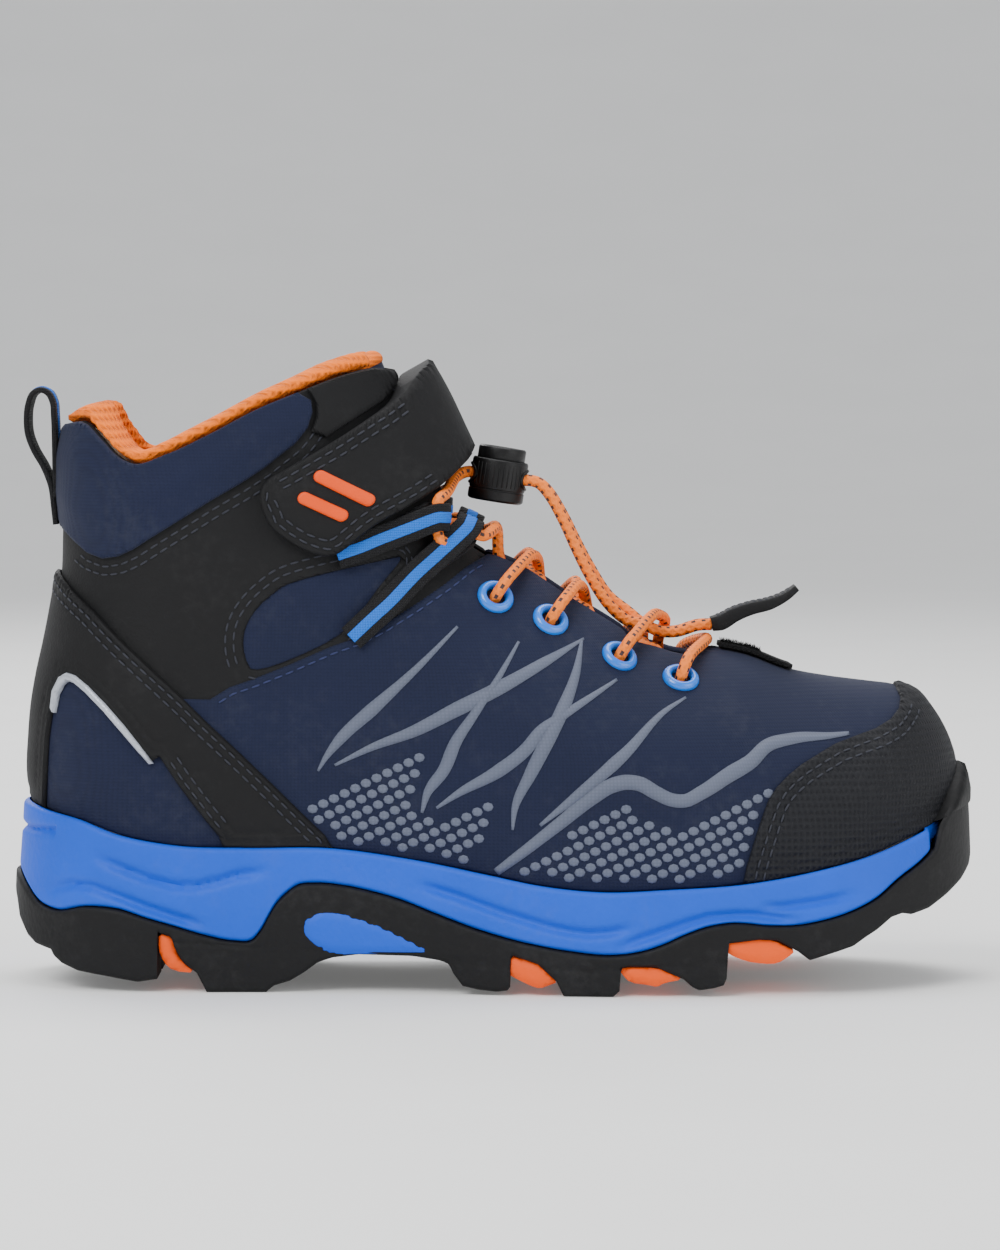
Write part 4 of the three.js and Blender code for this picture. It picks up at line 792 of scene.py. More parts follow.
def sweep(name, path, ups, section, closedPath=False, uvScaled=True, taper=None):
    # A closed section [across, outward] carried along a path whose outward direction is given.
    p, n = np.asarray(path, float), unit(ups)
    if closedPath:
        run = unit(np.roll(p, -1, 0) - np.roll(p, 1, 0))
    else:
        run = unit(np.gradient(p, axis=0))
    n = unit(n - run * (n * run).sum(1, keepdims=True))
    wide = np.cross(run, n)
    sec = np.asarray(section, float)
    scale = np.ones(len(p)) if taper is None else np.asarray(taper)
    grid = (p[:, None] + wide[:, None] * sec[None, :, 0, None] * scale[:, None, None]
            + n[:, None] * sec[None, :, 1, None] * scale[:, None, None])
    k = len(sec)
    quads = gridFaces(len(p), k, wrapRows=closedPath, wrapColumns=True).tolist()
    if not closedPath:
        quads.append(list(range(k)))
        quads.append([(len(p) - 1) * k + j for j in range(k)][::-1])
    obj = makeMesh(name, grid.reshape(-1, 3), quads)
    s = arcLength(p)
    layer = obj.data.uv_layers.new(name="along")
    index = np.empty(len(obj.data.loops), np.int32)
    obj.data.loops.foreach_get("vertex_index", index)
    row, col = index // k, (index % k).astype(float)
    starts = np.empty(len(obj.data.polygons), np.int32)
    obj.data.polygons.foreach_get("loop_start", starts)
    totals = np.empty(len(obj.data.polygons), np.int32)
    obj.data.polygons.foreach_get("loop_total", totals)
    owner = np.repeat(np.arange(len(starts)), totals)
    biggest = np.zeros(len(starts))
    np.maximum.at(biggest, owner, col)
    col[(biggest[owner] == k - 1) & (col == 0) & (totals[owner] == 4)] = k
    layer.data.foreach_set("uv", np.stack([s[row], col / k], 1).ravel())
    obj.data.update()
    return tidyMesh(obj, None)


def roundSection(width, thick, low=0.0, corner=0.45, n=4):
    # A rounded rectangle, width across and thick outwards from low.
    w, h, r = width / 2, thick, min(corner, thick / 2 - 0.01, width / 2 - 0.01)
    centres = [(w - r, low + r, -90), (w - r, low + h - r, 0), (-w + r, low + h - r, 90),
               (-w + r, low + r, 180)]
    out = []
    for x, y, a in centres:
        for k in range(n + 1):
            t = math.radians(a + 90 * k / n)
            out.append([x + r * math.cos(t), y + r * math.sin(t)])
    return out


def circle(radius, sides=14):
    # Points at even angles round a circle.
    a = np.arange(sides) / sides * 2 * np.pi
    return np.stack([np.cos(a), np.sin(a)], 1) * radius


def transported(path):
    # Directions across a path that turn with it and never twist.
    p = np.asarray(path, float)
    run = unit(np.gradient(p, axis=0))
    n = np.zeros_like(p)
    first = np.cross(run[0], [0.3, 0.2, 1.0])
    n[0] = unit(first)
    for i in range(1, len(p)):
        v = n[i - 1] - run[i] * (n[i - 1] @ run[i])
        n[i] = v / np.linalg.norm(v)
    return n


def tubeMesh(name, path, radius, sides=14):
    # A round rod along a line.
    return sweep(name, path, transported(path), circle(radius, sides))


def spot(x, z, hand):
    # The surface point and its normal under a side-view place.
    p, n = onSide(unwrap(np.array([[x, z]], float)), hand)
    return p[0], n[0]


def frontAt(rise):
    # Where the front line stands at a height.
    rise = min(max(rise, 0.0), 1.0)
    low, high = at(front, max(rise - 0.01, 0)), at(front, min(rise + 0.01, 1))
    d = high - low
    n = np.array([d[1], -d[0]]) / np.linalg.norm(d)
    return at(front, rise), n


def crest(rise, y, out):
    # A place by the front line, y off the middle, out from the surface there.
    (x, z), (nx, nz) = frontAt(rise)
    centre, half = spread(np.array(x - 6 * nx), np.array(z - 6 * nz))
    s = min(max(y / half, -0.98), 0.98)
    c = math.sqrt(1 - s * s)
    drop = 38 * (1 - c)
    lean = unit([c / 38, s / half])
    h = out * lean[0] - drop
    return np.array([x + nx * h, centre + y + out * lean[1], z + nz * h])


def riseOf(x):
    # The share up the surface at a height.
    low, high = 0.2, 0.98
    for _ in range(30):
        mid = (low + high) / 2
        if at(front, mid)[0] > x:
            low = mid
        else:
            high = mid
    return (low + high) / 2


# The lace, before anything else.
cordSize = {"diameter": 2.8}
lockBase, lockTurn = np.array([-0.9, 0.0, 115.9]), 0.155
cordHeight, cordApart = 6.2, 1.65


def inLock(x, y, z):
    c, s = math.cos(lockTurn), math.sin(lockTurn)
    return lockBase + np.array([x * c + z * s, y, -x * s + z * c])


def loopEyes(hand):
    a, an = spot(-17.2, 111.6, hand)
    b, bn = spot(-9.8, 107.6, hand)
    return a + an * 4.4, an, b + bn * 4.2, bn


eyeletPlaces = [[-0.7, 93.7], [12.5, 88.2], [29, 79.4], [43.7, 74.2]]
tuckAt, middleAt = [13.6, 25.6, 41], [9.8, 21.2, 37.2]
highOut, lowOut = [-0.5, -0.8, 4], [-4, -4.2, -4.1]


def strandTop(hand):
    upper, _, lower, _ = loopEyes(hand)
    return [
        inLock(-0.2, hand * cordApart, cordHeight), inLock(-4, hand * cordApart, cordHeight),
        inLock(-7.6, hand * cordApart, cordHeight),
        inLock(-9.6, hand * (cordApart + 1.1), cordHeight - 1.1),
        np.array([-12.4, upper[1] * 0.74, 118.6]),
        upper + [0.2, 0, 3.4], upper + [0, 0, -3], upper + [1.2, 0.4 * hand, -6.2],
        lower + [-3, 0, 1.4], lower + [3.2, 0, -1.5]]


def acrossEyelet(i, hand, towards):
    p, up = spot(*eyeletPlaces[i], hand)
    way = towards - p
    way = unit(way - up * (way @ up))
    return p, up, way


def through(i, hand, towards):
    p, up, way = acrossEyelet(i, hand, towards)
    return [p + way * a + up * b for a, b in ((7.4, 2.7), (2.9, 3.6), (0.25, 1.5), (0, -1.7))]


def insideEyelet(i, hand, edge):
    p, up, way = acrossEyelet(i, hand, edge)
    return p + way * 3.4 - up * 4.5


def strandDown(first):
    hand = first
    entry = crest(riseOf(4), hand * 10.6, -4.6)
    points = [crest(riseOf(-0.6), hand * 7.2, 1.4), crest(riseOf(2), hand * 7.6, -2.6), entry,
              insideEyelet(0, hand, entry)]
    for i in range(4):
        out = (highOut if hand < 0 else lowOut + [0])[min(i, 2)]
        if i == 3:
            points += through(3, hand, crest(riseOf(50.5), 0, 1.35))[::-1]
            break
        middle = crest(riseOf(middleAt[i]), 0, out)
        edge = crest(riseOf(tuckAt[i]), -hand * 9.8, -4.5)
        side = crest(riseOf(middleAt[i] - 2), hand * 9, max(out, 0) * 0.6 + 1.3)
        points += through(i, hand, side)[::-1] + [side, middle]
        between = riseOf((middleAt[i] + tuckAt[i]) / 2 + 0.6)
        if out > 1:
            points += [crest(between, -hand * 3.4, out - 0.7), crest(between, -hand * 7, -1)]
        else:
            points += [crest(between, -hand * 5.4, -3.7)]
        points += [edge, insideEyelet(i + 1, -hand, edge)]
        hand = -hand
    return points


def freeEnd(hand):
    bulge = 1 if hand > 0 else 0
    y = cordApart * hand * 1.02

    def point(x, z, extra=0.0):
        return np.array([x, y + extra * hand, z])
    return [
        inLock(0.2, cordApart * hand, cordHeight), inLock(5, cordApart * hand, cordHeight),
        inLock(9.6, y, cordHeight), point(12.2, 117.9 + bulge * 0.4, 0.3),
        point(15.6, 112 + bulge * 0.8, 0.6), point(19, 104.6 + bulge * 1.4, 0.9),
        point(22.3, 98 + bulge * 1.8, 1.2), point(26.8, 91 + bulge * 1.9, 1),
        point(31.4, 87 + bulge * 2.2, 0.3), crest(riseOf(35), y, 0.5), crest(riseOf(38.8), y, 0.4),
        point(43.4, 84.3), point(48.4, 85.8), point(51.9, 86)]


def lengthOf(path):
    return float(np.linalg.norm(np.diff(path, axis=0), axis=1).sum())


lateralLace = strandTop(-1) + strandDown(-1)
medialLace = strandTop(1) + strandDown(1)
laced = curveThrough(lateralLace + [crest(riseOf(50.5), 0, 1.35)] + medialLace[::-1], 620)
lacedObject = tubeMesh("laceLaced", laced, cordSize["diameter"] / 2, 12)
finishPiece(lacedObject, "lace", "upper", ["lace_laced"])
for side, hand in (("Lateral", -1), ("Medial", 1)):
    path = curveThrough(freeEnd(hand), 110)
    obj = tubeMesh("laceFree" + side, path, cordSize["diameter"] / 2, 12)
    finishPiece(obj, "lace", "upper", ["lace_free_" + side.lower()])
    print("free end", side, round(lengthOf(path), 1), "mm")
print("laced length", round(lengthOf(laced), 1), "mm")


# Outlines.
vampTop = [
    [-2.1, 104.3], [-7.3, 101.5], [-12.7, 97.3], [-19.9, 92.5], [-27.6, 87.7], [-34, 84.5], [-40, 82.4],
    [-50, 78], [-58.7, 74.5], [-64, 72.7], [-68.9, 69.7]]
throat = [
    [46.7, 79.4], [42, 80.4], [38, 81.7], [33.3, 82.9], [30, 85.9], [27.2, 87.7], [21.9, 90.9],
    [16.6, 94.1], [11.2, 97.8], [7.5, 100.2], [3.3, 102.1], [-0.5, 103.7]]
shaftFront = [[-9, 108], [-13.5, 119.5], [-18, 129.5], [-22, 138], [-25, 144.5]]
heelCurve = [list(p) for p in at(back, np.linspace(0, 1, 24))]
frontCurve = [list(p) for p in at(front, np.linspace(0, 1, 60))]
featherCurve = [list(p) for p in at(feather, np.linspace(0, 1, 60))]
collarCurve = [list(p) for p in at(collar, np.linspace(0, 1, 40))]


def part(curve, low, high, axis=0):
    return [p for p in curve if low <= p[axis] <= high]


toeFront = [p for p in frontCurve if p[0] > 48.5]
vampLoop = ([[-82, 70], [-75, 63.5], [-69, 57.5], [-57, 46], [-52, 34]] + part(featherCurve, -50, 111)
            + toeFront + [[47.6, 79.6]] + throat + vampTop)
quarterLoop = ([[-82.3, 70.4], [-94, 77], [-105, 84]] + [p for p in heelCurve if p[1] > 86]
               + part(collarCurve, -106, -27) + shaftFront[::-1]
               + [[-2.5, 104.0]] + [[x - 0.6, z - 2.2] for x, z in vampTop[1:]] + [[-76, 66.5]])
insetLoop = roundCorners([
    [-58.2, 75.6], [-60.3, 79.1], [-60.9, 83.4], [-60.1, 87.6], [-57.1, 91.9], [-53.4, 95.1],
    [-50.2, 97.3], [-39.3, 100.2], [-26, 103.2], [-21.7, 104.2], [-28.7, 96.2], [-34, 88.6],
    [-40.2, 83.1]], 2).tolist()
heelLoop = ([[-50.6, 36], [-57.6, 45.9], [-69.6, 57.4], [-82.6, 69.9], [-105.2, 83.4]]
            + [p for p in heelCurve[::-1] if p[1] < 86] + part(featherCurve, -112, -50))
bandUpper = [
    [-107.4, 100.6], [-106.8, 99.4], [-102.6, 95.1], [-96.7, 90.3], [-90.3, 83.9], [-82.8, 77],
    [-74.8, 69.5], [-69.4, 64.1], [-61.4, 56.6], [-53.4, 48.9], [-46.7, 42.3], [-41.3, 37.2], [-39.2, 33.6]]
bandLower = [
    [-65.5, 33.6], [-66.7, 36.9], [-70, 40.9], [-73.4, 45.3], [-76.8, 49.9], [-80.8, 56], [-82.5, 55],
    [-85.5, 58.2], [-89.2, 63], [-93.5, 67.9], [-97.8, 72.1], [-101, 74.5], [-103, 75], [-104.7, 73.7],
    [-106.2, 70.5], [-107.4, 64.7], [-108.2, 59], [-108.7, 50], [-109.2, 42.2]]
bandLoop = bandUpper + bandLower + [p for p in heelCurve if p[1] < 100.4]
toeEdge = [
    [58.1, 26.4], [58.9, 30.4], [60.5, 35.7], [62.4, 41.6], [64, 45.9], [66.1, 49.1], [68.8, 51.7],
    [72, 54.1], [76.3, 56.5], [80.5, 58.7], [85.3, 60.3], [90.2, 61.8], [94.2, 63.9], [96.6, 66.4],
    [97.3, 68.8]]
toeLoop = (toeEdge + [list(p) for p in at(front, np.linspace(0.19, 0, 14))]
           + part(featherCurve[::-1], 59, 110))
guardLoop = ([[111.1, 56.6], [110.9, 53.3], [109.9, 50.1], [107.7, 46.4], [105.6, 42.1], [104, 39.2]]
             + part(featherCurve, 104.5, 111)
             + [list(p) for p in at(front, np.linspace(0, 0.1, 8)) if p[1] < 56.6])
collarTop = part(collarCurve, -105.3, -46.7)
collarLoop = (collarTop + [[-44.7, 140.9], [-44.3, 138], [-45.4, 134.3], [-48.3, 130.6], [-52, 127.7],
              [-55.7, 124.7], [-61.5, 121], [-68.9, 116.7], [-74.8, 113], [-82, 108.6], [-87.2, 105.3],
              [-90.9, 103.6], [-94.6, 103], [-98.3, 104.2], [-101.9, 107], [-106.2, 110.8]]
              + [p for p in heelCurve if p[1] > 111.5])
trimLoop = ([[-45.6, 143.6], [-43.6, 140], [-43.4, 137], [-44.6, 133.5], [-41, 132], [-27, 141]]
            + [[-24.6, 144.6]] + part(collarCurve[::-1], -46, -24.5))
pipingLoop = [
    [-106.9, 65.8], [-106.3, 70.9], [-104.6, 74.3], [-102.8, 75.5], [-100.7, 75], [-97.4, 72.6],
    [-93.1, 68.4], [-88.8, 63.5], [-85.1, 58.7], [-82.2, 54.4], [-83.3, 54.2], [-86.3, 57.6], [-90, 62],
    [-94, 66.6], [-98.1, 70.7], [-101.1, 73], [-102.9, 73.4], [-104.1, 72.4], [-105.4, 70],
    [-106.3, 65.6]]

both = ["lateral", "medial"]


def clip(loop):
    # Points that repeat one another are dropped.
    out = [loop[0]]
    for p in loop[1:]:
        if math.dist(p, out[-1]) > 0.15:
            out.append(p)
    if math.dist(out[0], out[-1]) < 0.15:
        out.pop()
    return out


panel("vampCloth", "navy", clip(vampLoop), low=-1.5, thick=1.45, replaced=["vamp"], grooves=(), step=1.9)
panel("quarterLayer", "black", clip(quarterLoop), low=-1.6, thick=1.05, holes=[insetLoop],
      replaced=["quarter_lateral", "quarter_medial"], step=1.9)
inner = [[-42 + (x + 42) * 1.07, 91 + (z - 91) * 1.07] for x, z in insetLoop]
panel("ankleInset", "navy", inner, low=-1.9, thick=0.8, replaced=["ankle_inset_" + s for s in both],
      puff=0.35, puffWide=6)
panel("heelSide", "navy", clip(heelLoop), low=-1.5, thick=1.3, replaced=["heel_side"])
panel("heelBand", "black", clip(bandLoop), low=0.0, thick=1.15, replaced=["heel_band"], grooves=(1.5, 3.5))
panel("toeCap", "ripstop", clip(toeLoop), low=0.0, thick=1.15, replaced=["toe_cap"], grooves=(2.5, 4.5))
panel("collarPanel", "navy", clip(collarLoop), low=-0.3, thick=1.2, puff=0.9, puffWide=9,
      replaced=["collar_panel_" + s for s in both])
panel("collarTrim", "black", clip(trimLoop), low=-0.2, thick=1.2,
      replaced=["collar_trim_" + s for s in both])
panel("piping", "silver", clip(pipingLoop), low=0.0, thick=1.9, replaced=["piping_" + s for s in both],
      softEdge=1.0, step=0.9)
panel("toeGuard", "rubber", clip(guardLoop), low=0.2, thick=2.7, softEdge=1.2,
      shape=lambda flat, uv, d: 1.7 * (1 - smoothstep(flat[:, 1], 43, 55)))

stitches("seamVamp", "navyThread", [parallel(vampTop[::-1], -1.9)], (-1, 1), 0.0)
stitches("seamBand", "thread", [parallel(bandUpper, -1.6), parallel(bandUpper, -3.5),
                                parallel(bandLower[1:6], -1.6), parallel(bandLower[1:6], -3.5)],
             (-1, 1), 1.15)
stitches("seamToe", "thread", [parallel(toeEdge, -2.5), parallel(toeEdge, -4.5)], (-1, 1), 1.15)
collarLow = [[-44.3, 138], [-45.4, 134.3], [-48.3, 130.6], [-52, 127.7], [-55.7, 124.7], [-61.5, 121],
             [-68.9, 116.7], [-74.8, 113], [-82, 108.6], [-87.2, 105.3], [-90.9, 103.6], [-94.6, 103],
             [-98.3, 104.2], [-101.9, 107]]
stitches("seamCollar", "thread", [parallel(collarLow, 2), parallel(collarLow, 4)], (-1, 1), -0.5)
insetRound = insetLoop + insetLoop[:3]
stitches("seamInset", "thread", [parallel(insetRound, 2.4), parallel(insetRound, 4.4)], (-1, 1), -0.5)


# Grey print on the sides.
def strokeMesh(lines, widths, hands, out):
    # Each stroke is a flat ribbon, wide by the given widths, lying on the surface, closed underneath.
    points, faces, count = [], [], 0
    for (line, width) in zip(lines, widths):
        p = smoothLine(line, max(12, int(len(line) * 8)))
        w = 1.35 * np.interp(np.linspace(0, 1, len(p)), np.linspace(0, 1, len(width)), width)
        d = unit(np.gradient(p, axis=0))
        n = np.stack([-d[:, 1], d[:, 0]], 1)
        for hand in hands:
            rows = []
            for f, o in ((-0.5, 0.0), (-0.5, 0.14), (0, 0.16), (0.5, 0.14), (0.5, 0.0)):
                uv = unwrap(p + n * (w * f)[:, None])
                rows.append(onSide(uv, hand, np.full(len(uv), out + o))[0])
            grid = np.stack(rows, 1)
            points.append(grid.reshape(-1, 3))
            faces += ringFaces(len(p), 5, count)
            count += len(p) * 5
    return np.vstack(points), faces


strokes = [
    ([[-9.7, 87], [-20, 76.6], [-30, 67.4], [-37, 61], [-41, 56], [-43, 52.6]], [0.5, 1, 1.6, 2.4, 2, 0.4]),
    ([[-39, 54], [-30, 58.4], [-20, 62.3], [-10, 67.5], [0, 72.5], [10, 78], [20.5, 83.8]],
     [0.5, 1.4, 2.2, 2.6, 2.4, 1.8, 0.4]),
    ([[20, 83.5], [18.5, 76], [15, 67], [12, 61], [7.7, 52.5], [4, 44.5], [3.4, 39]],
     [0.5, 1.6, 2.4, 2.6, 2.4, 1.6, 0.4]),
    ([[9.9, 40.2], [20, 48.5], [30, 57.3], [40, 67.2], [44.8, 70]], [0.6, 1.8, 2.3, 1.4, 0.4]),
    ([[4.9, 83.4], [0, 75], [-6, 66], [-10, 60], [-13, 53], [-16.8, 47.7], [-18.2, 42.8]],
     [0.5, 1, 1.3, 1.8, 2.3, 2, 0.5]),
    ([[-14.7, 44], [-9.3, 47.7], [0, 53], [6.7, 58.4], [10, 62.6], [15.5, 66.3], [28.3, 74.3]],
     [0.5, 1.6, 2.4, 2.3, 1.7, 1.2, 0.5]),
    ([[-0.5, 28.9], [6.7, 34.4], [14.7, 40.8], [22.7, 47.2], [26.4, 49.6], [30, 50.6], [33.3, 50.3],
      [37.6, 48], [41.3, 46.4], [44, 46.2], [48.3, 48.2], [54.7, 52.2], [60, 55.2], [64, 58.7],
      [70, 60.2], [80, 60.8], [84, 61.2]],
     [1.4, 1.8, 2, 2.2, 2.4, 2.6, 2.7, 2.6, 2.4, 2.4, 2.6, 2.8, 2.6, 2.2, 1.8, 1.2, 0.6]),
]
pts, faces = strokeMesh([s[0] for s in strokes], [s[1] for s in strokes], (-1, 1), -0.06)
printed = makeMesh("printLines", pts, faces)
tidyMesh(printed)
finishPiece(printed, "print", "upper")

dotAreas = [
    [[-47, 43.9], [-40, 48.5], [-30, 53], [-17.5, 58], [-18.7, 53], [-20, 45], [-19, 41], [-12, 41],
     [-8, 44], [0, 48], [-3, 40], [-6, 33], [-8.5, 30.5], [-20, 33.5], [-38, 36.5]],
    [[5.5, 29], [12, 33.5], [20, 40.5], [28, 45], [31, 44.5], [36, 42], [41, 40], [46, 40], [52, 43],
     [60, 47.8], [66, 50.5], [60, 38], [57, 29.5], [40, 27], [25, 26.6], [10, 28]],
]


def dotMesh(areas, hands, out):
    # Small low domes on a slanted lattice inside the areas.
    ij = np.stack(np.meshgrid(np.arange(-60, 60), np.arange(-60, 60)), -1).reshape(-1, 2)
    spots = ij[:, :1] * np.array([4.0, -1.3]) + ij[:, 1:] * np.array([2.55, 1.25])
    spots = np.vstack([spots[insideOf(spots, np.array(a, float))] for a in areas])
    a = np.arange(8) / 8 * 2 * np.pi
    rim = np.stack([np.cos(a) * 1.32, np.sin(a) * 1.12], 1)
    points, faces, count = [], [], 0
    for hand in hands:
        rows = []
        for f, o in ((1.0, 0.0), (0.95, 0.12), (0.5, 0.17)):
            uv = unwrap((spots[:, None] + rim[None] * f).reshape(-1, 2))
            rows.append(onSide(uv, hand, np.full(len(uv), out + o))[0].reshape(len(spots), 8, 3))
        grid = np.stack(rows, 1)
        for _ in spots:
            faces += ringFaces(3, 8, count)
            count += 24
        points.append(grid.reshape(-1, 3))
    return np.vstack(points), faces


pts, faces = dotMesh(dotAreas, (-1, 1), -0.06)
dots = makeMesh("printDots", pts, faces)
tidyMesh(dots)
finishPiece(dots, "print", "upper")
print("print", len(dots.data.polygons))


# Sole.
midTop = smoothLine([
    [-114.6, 44.2], [-107, 42.2], [-100, 40.8], [-90, 37.3], [-77, 34.9], [-60, 34.3], [-40, 34.3],
    [-20, 31.8], [-1.3, 28.3], [10, 26.1], [25, 24.7], [40, 25.3], [60, 26.7], [77.3, 29.9],
    [88, 32.8], [98.7, 36.8], [103.5, 38.9], [116, 44]], 400)
midBottom = smoothLine([
    [-116, 30], [-112.9, 27.2], [-110.2, 23.5], [-106.9, 19.9], [-103.5, 18.7], [-96.8, 20], [-90, 19.7],
    [-83.5, 17.5], [-76.8, 15.5], [-70, 13.5], [-63.4, 12.2], [-58.7, 12.4], [-56.7, 14.5],
    [-54.4, 18.5], [-52.7, 21.2], [-50, 23.9], [-47.4, 25.6], [-43.3, 26], [-36.7, 25.5],
    [-30, 24.2], [-23.3, 22.4], [-14.7, 19.2], [-4, 15.4], [6.7, 12.5], [17.3, 10.6], [28, 9.8],
    [33.3, 10.5], [38.7, 12.2], [44, 14.6], [49.3, 16.5], [54.7, 17.3], [64, 16.6], [70, 16.6],
    [77.3, 17.9], [82.7, 19.7], [88, 22.4], [93.3, 26.7], [98.7, 30.4], [101.9, 33.1], [116, 41]], 500)
under = np.array([
    [-116, 24], [-113, 22.2], [-111.9, 19], [-111.2, 15.2], [-109.2, 11.5], [-107.5, 10], [-103.9, 9],
    [-103.2, 7.5],
    [-101.5, 6], [-98.2, 4.6], [-92.2, 3.7], [-85.5, 2.5], [-81.2, 3.2], [-81, 14.2], [-77.9, 13.2],
    [-76.9, 10.2], [-75.2, 7.2], [-71.9, 4.6], [-69.6, 0.1], [-55.2, 0.1], [-53.4, 1.6], [-49.4, 2.8],
    [-46, 4.8], [-42.7, 7.2], [-39.2, 8.4], [-33, 9.2], [-20, 9], [-13, 8], [-10.9, 7.2], [-9.9, 5],
    [-7.7, 2.1], [-4, 1.3], [0.3, 0.9], [3.5, 1.3], [3.8, 9.6], [9.9, 7.6], [14.4, 3.4], [15.2, 1.6],
    [16, 0.1], [27.5, 0.1], [28.9, 1.4], [29.3, 6.8], [31.2, 7.2], [37.6, 7], [43.7, 4.2], [45.6, 2.4],
    [47.2, 1.6], [50.9, 2.1], [53.4, 2.9], [54, 12.6], [61.3, 13.4], [65.6, 13.2], [70.4, 10.6],
    [73.3, 8.4], [77.3, 9.6], [82.7, 11.5], [85.1, 13.3], [88, 15.2], [91.2, 17.9], [93.9, 18.7],
    [96, 18.2], [99.7, 19.2], [104, 21.9], [107.7, 24.8], [109.9, 27.5], [111.2, 31.5], [112.3, 35.2],
    [113, 38], [116, 42]])
grooveLines = [
    [[-97.2, 33.2], [-90, 29.9], [-83.5, 27.2], [-77.4, 25.5], [-72, 25.3], [-66.8, 26.5], [-62, 28],
     [-52.7, 29.1]],
    [[-106.5, 20.5], [-104.2, 23.5], [-100.2, 25.1], [-95.5, 24.9], [-90, 22.9], [-83.5, 20.2],
     [-76.8, 17.9], [-68, 15.2]],
    [[-21, 26.6], [-14.7, 25], [-9.3, 23.4], [-4, 21.6], [1.3, 19.7], [6.7, 18.1], [12, 16.5],
     [17.3, 15.4], [21.6, 14.9], [26, 15.2], [30.7, 16.1], [34.4, 17.6]],
    [[26.4, 10.6], [33.3, 13.6], [38.7, 15.4], [44, 17.3], [49.3, 18.9], [56, 19.4], [61, 19.2],
     [66.7, 18.4], [73, 18.1]],
    [[59.2, 21.3], [66.7, 21.1], [74.7, 22.1], [80, 23.2], [85.3, 24.6]],
]
print("groove lines")


def wallGrid(us, lowAt, highAt, outAt, rows, hand, edge=1.1):
    # Rows of one side wall, from the underside up, flared out by height, its edges rounded.
    r = us if hand < 0 else 2 - us
    ring, n = sample(r, np.full(len(us), -0.5), 0.0)
    flat = n.copy()
    flat[:, 2] = 0
    flat = unit(flat)
    lowZ, highZ = lowAt(ring[:, 0]), highAt(ring[:, 0])
    f = np.linspace(0, 1, rows)
    f = f - np.sin(2 * np.pi * f) / (2 * np.pi) * 0.7
    z = lowZ[:, None] + (highZ - lowZ)[:, None] * f[None]
    d = np.minimum(z - lowZ[:, None], highZ[:, None] - z)
    out = outAt(ring[:, 0][:, None] + 0 * z, z) - edge * (1 - turnOver(d, edge))
    grid = np.concatenate([(ring[:, None, :2] + flat[:, None, :2] * out[..., None]), z[..., None]], 2)
    return grid


def soleMesh(us, lowAt, highAt, outAt, rows, acrossTop, acrossBottom, edge):
    # Both side walls joined across the top and the underside; the ends close on the silhouette.
    left, right = [wallGrid(us, lowAt, highAt, outAt, rows, h, edge) for h in (-1, 1)]
    top = [left[:, -1] * (1 - f) + right[:, -1] * f + np.array([0, 0, dz]) for f, dz in acrossTop]
    bottom = [right[:, 0] * (1 - f) + left[:, 0] * f + np.array([0, 0, dz]) for f, dz in acrossBottom]
    section = ([left[:, k] for k in range(rows)] + top
               + [right[:, k] for k in range(rows - 1, -1, -1)] + bottom)
    grid = np.stack(section, 1)
    return grid.reshape(-1, 3), gridFaces(grid.shape[0], grid.shape[1], wrapColumns=True)


def columnsFor(lines, count):
    # Values of round spread over the ring, with more where the given side-view x values lie.
    u = np.linspace(0, 1, count)
    x = sample(u, np.full(count, -0.5))[0][:, 0]
    extra = [np.interp(a + d, x, u) for a in lines for d in (-0.12, 0.0, 0.12)]
    return np.unique(np.round(np.r_[u, extra], 6))


def flare(levels):
    z, out = np.array(levels, float).T
    return lambda zz: np.interp(zz, z, out)


midFlare = flare([[-2, 5], [20, 4.4], [34, 3.4], [46, 2.6], [70, 2.1]])
rubberFlare = flare([[-2, 5.4], [20, 5], [40, 4.2], [70, 2.4]])
grooveDense = [densify(line, 0.6, closed=False) for line in grooveLines]


def midOut(x, z):
    out = midFlare(z)
    flat = np.stack([x.ravel(), z.ravel()], 1)
    for line in grooveDense:
        d = lineDistance(flat, line)
        ends = np.minimum(np.linalg.norm(flat - line[0], axis=1), np.linalg.norm(flat - line[-1], axis=1))
        out = out - (1.5 * np.exp(-(d / 1.15) ** 2) * smoothstep(ends, 0, 8)).reshape(out.shape)
    d = lineDistance(flat, np.array([[-118, 37.2], [-112, 37.3], [-104, 37.6]]))
    out = out - (1.3 * np.exp(-(d / 0.9) ** 2) * (flat[:, 0] < -104)).reshape(out.shape)
    return out - 2.6 * smoothstep(x, 100.5, 103.5)


us = columnsFor([], 640)
pts, faces = soleMesh(
    us, lambda x: np.interp(x, midBottom[:, 0], midBottom[:, 1]) + 0.1,
    lambda x: np.interp(x, midTop[:, 0], midTop[:, 1]), midOut, 44,
    [(0.05, -0.6), (0.075, -9.5), (0.5, -9.5), (0.925, -9.5), (0.95, -0.6)],
    [(0.2, 0), (0.5, 0), (0.8, 0)], 1.3)
midsole = tidyMesh(makeMesh("midsoleFoam", pts, faces), 0.00001)
finishPiece(sharpen(midsole, 60), "foam", "upper", ["midsole"])


def outsoleHigh(x):
    low = np.interp(x, midBottom[:, 0], midBottom[:, 1]) - 0.05
    guard = np.interp(x, [100, 101.9, 103.5, 105.6, 108, 116], [32, 33.1, 38.9, 42.1, 44.5, 45])
    return np.where(x > 101, guard, low)


def rubberOut(x, z):
    out = rubberFlare(z)
    rib = np.exp(-((z - 6.2 - 0.06 * np.abs(x - 20)) / 0.35) ** 2)
    return out - 0.3 * rib * smoothstep(x, -110, -100)


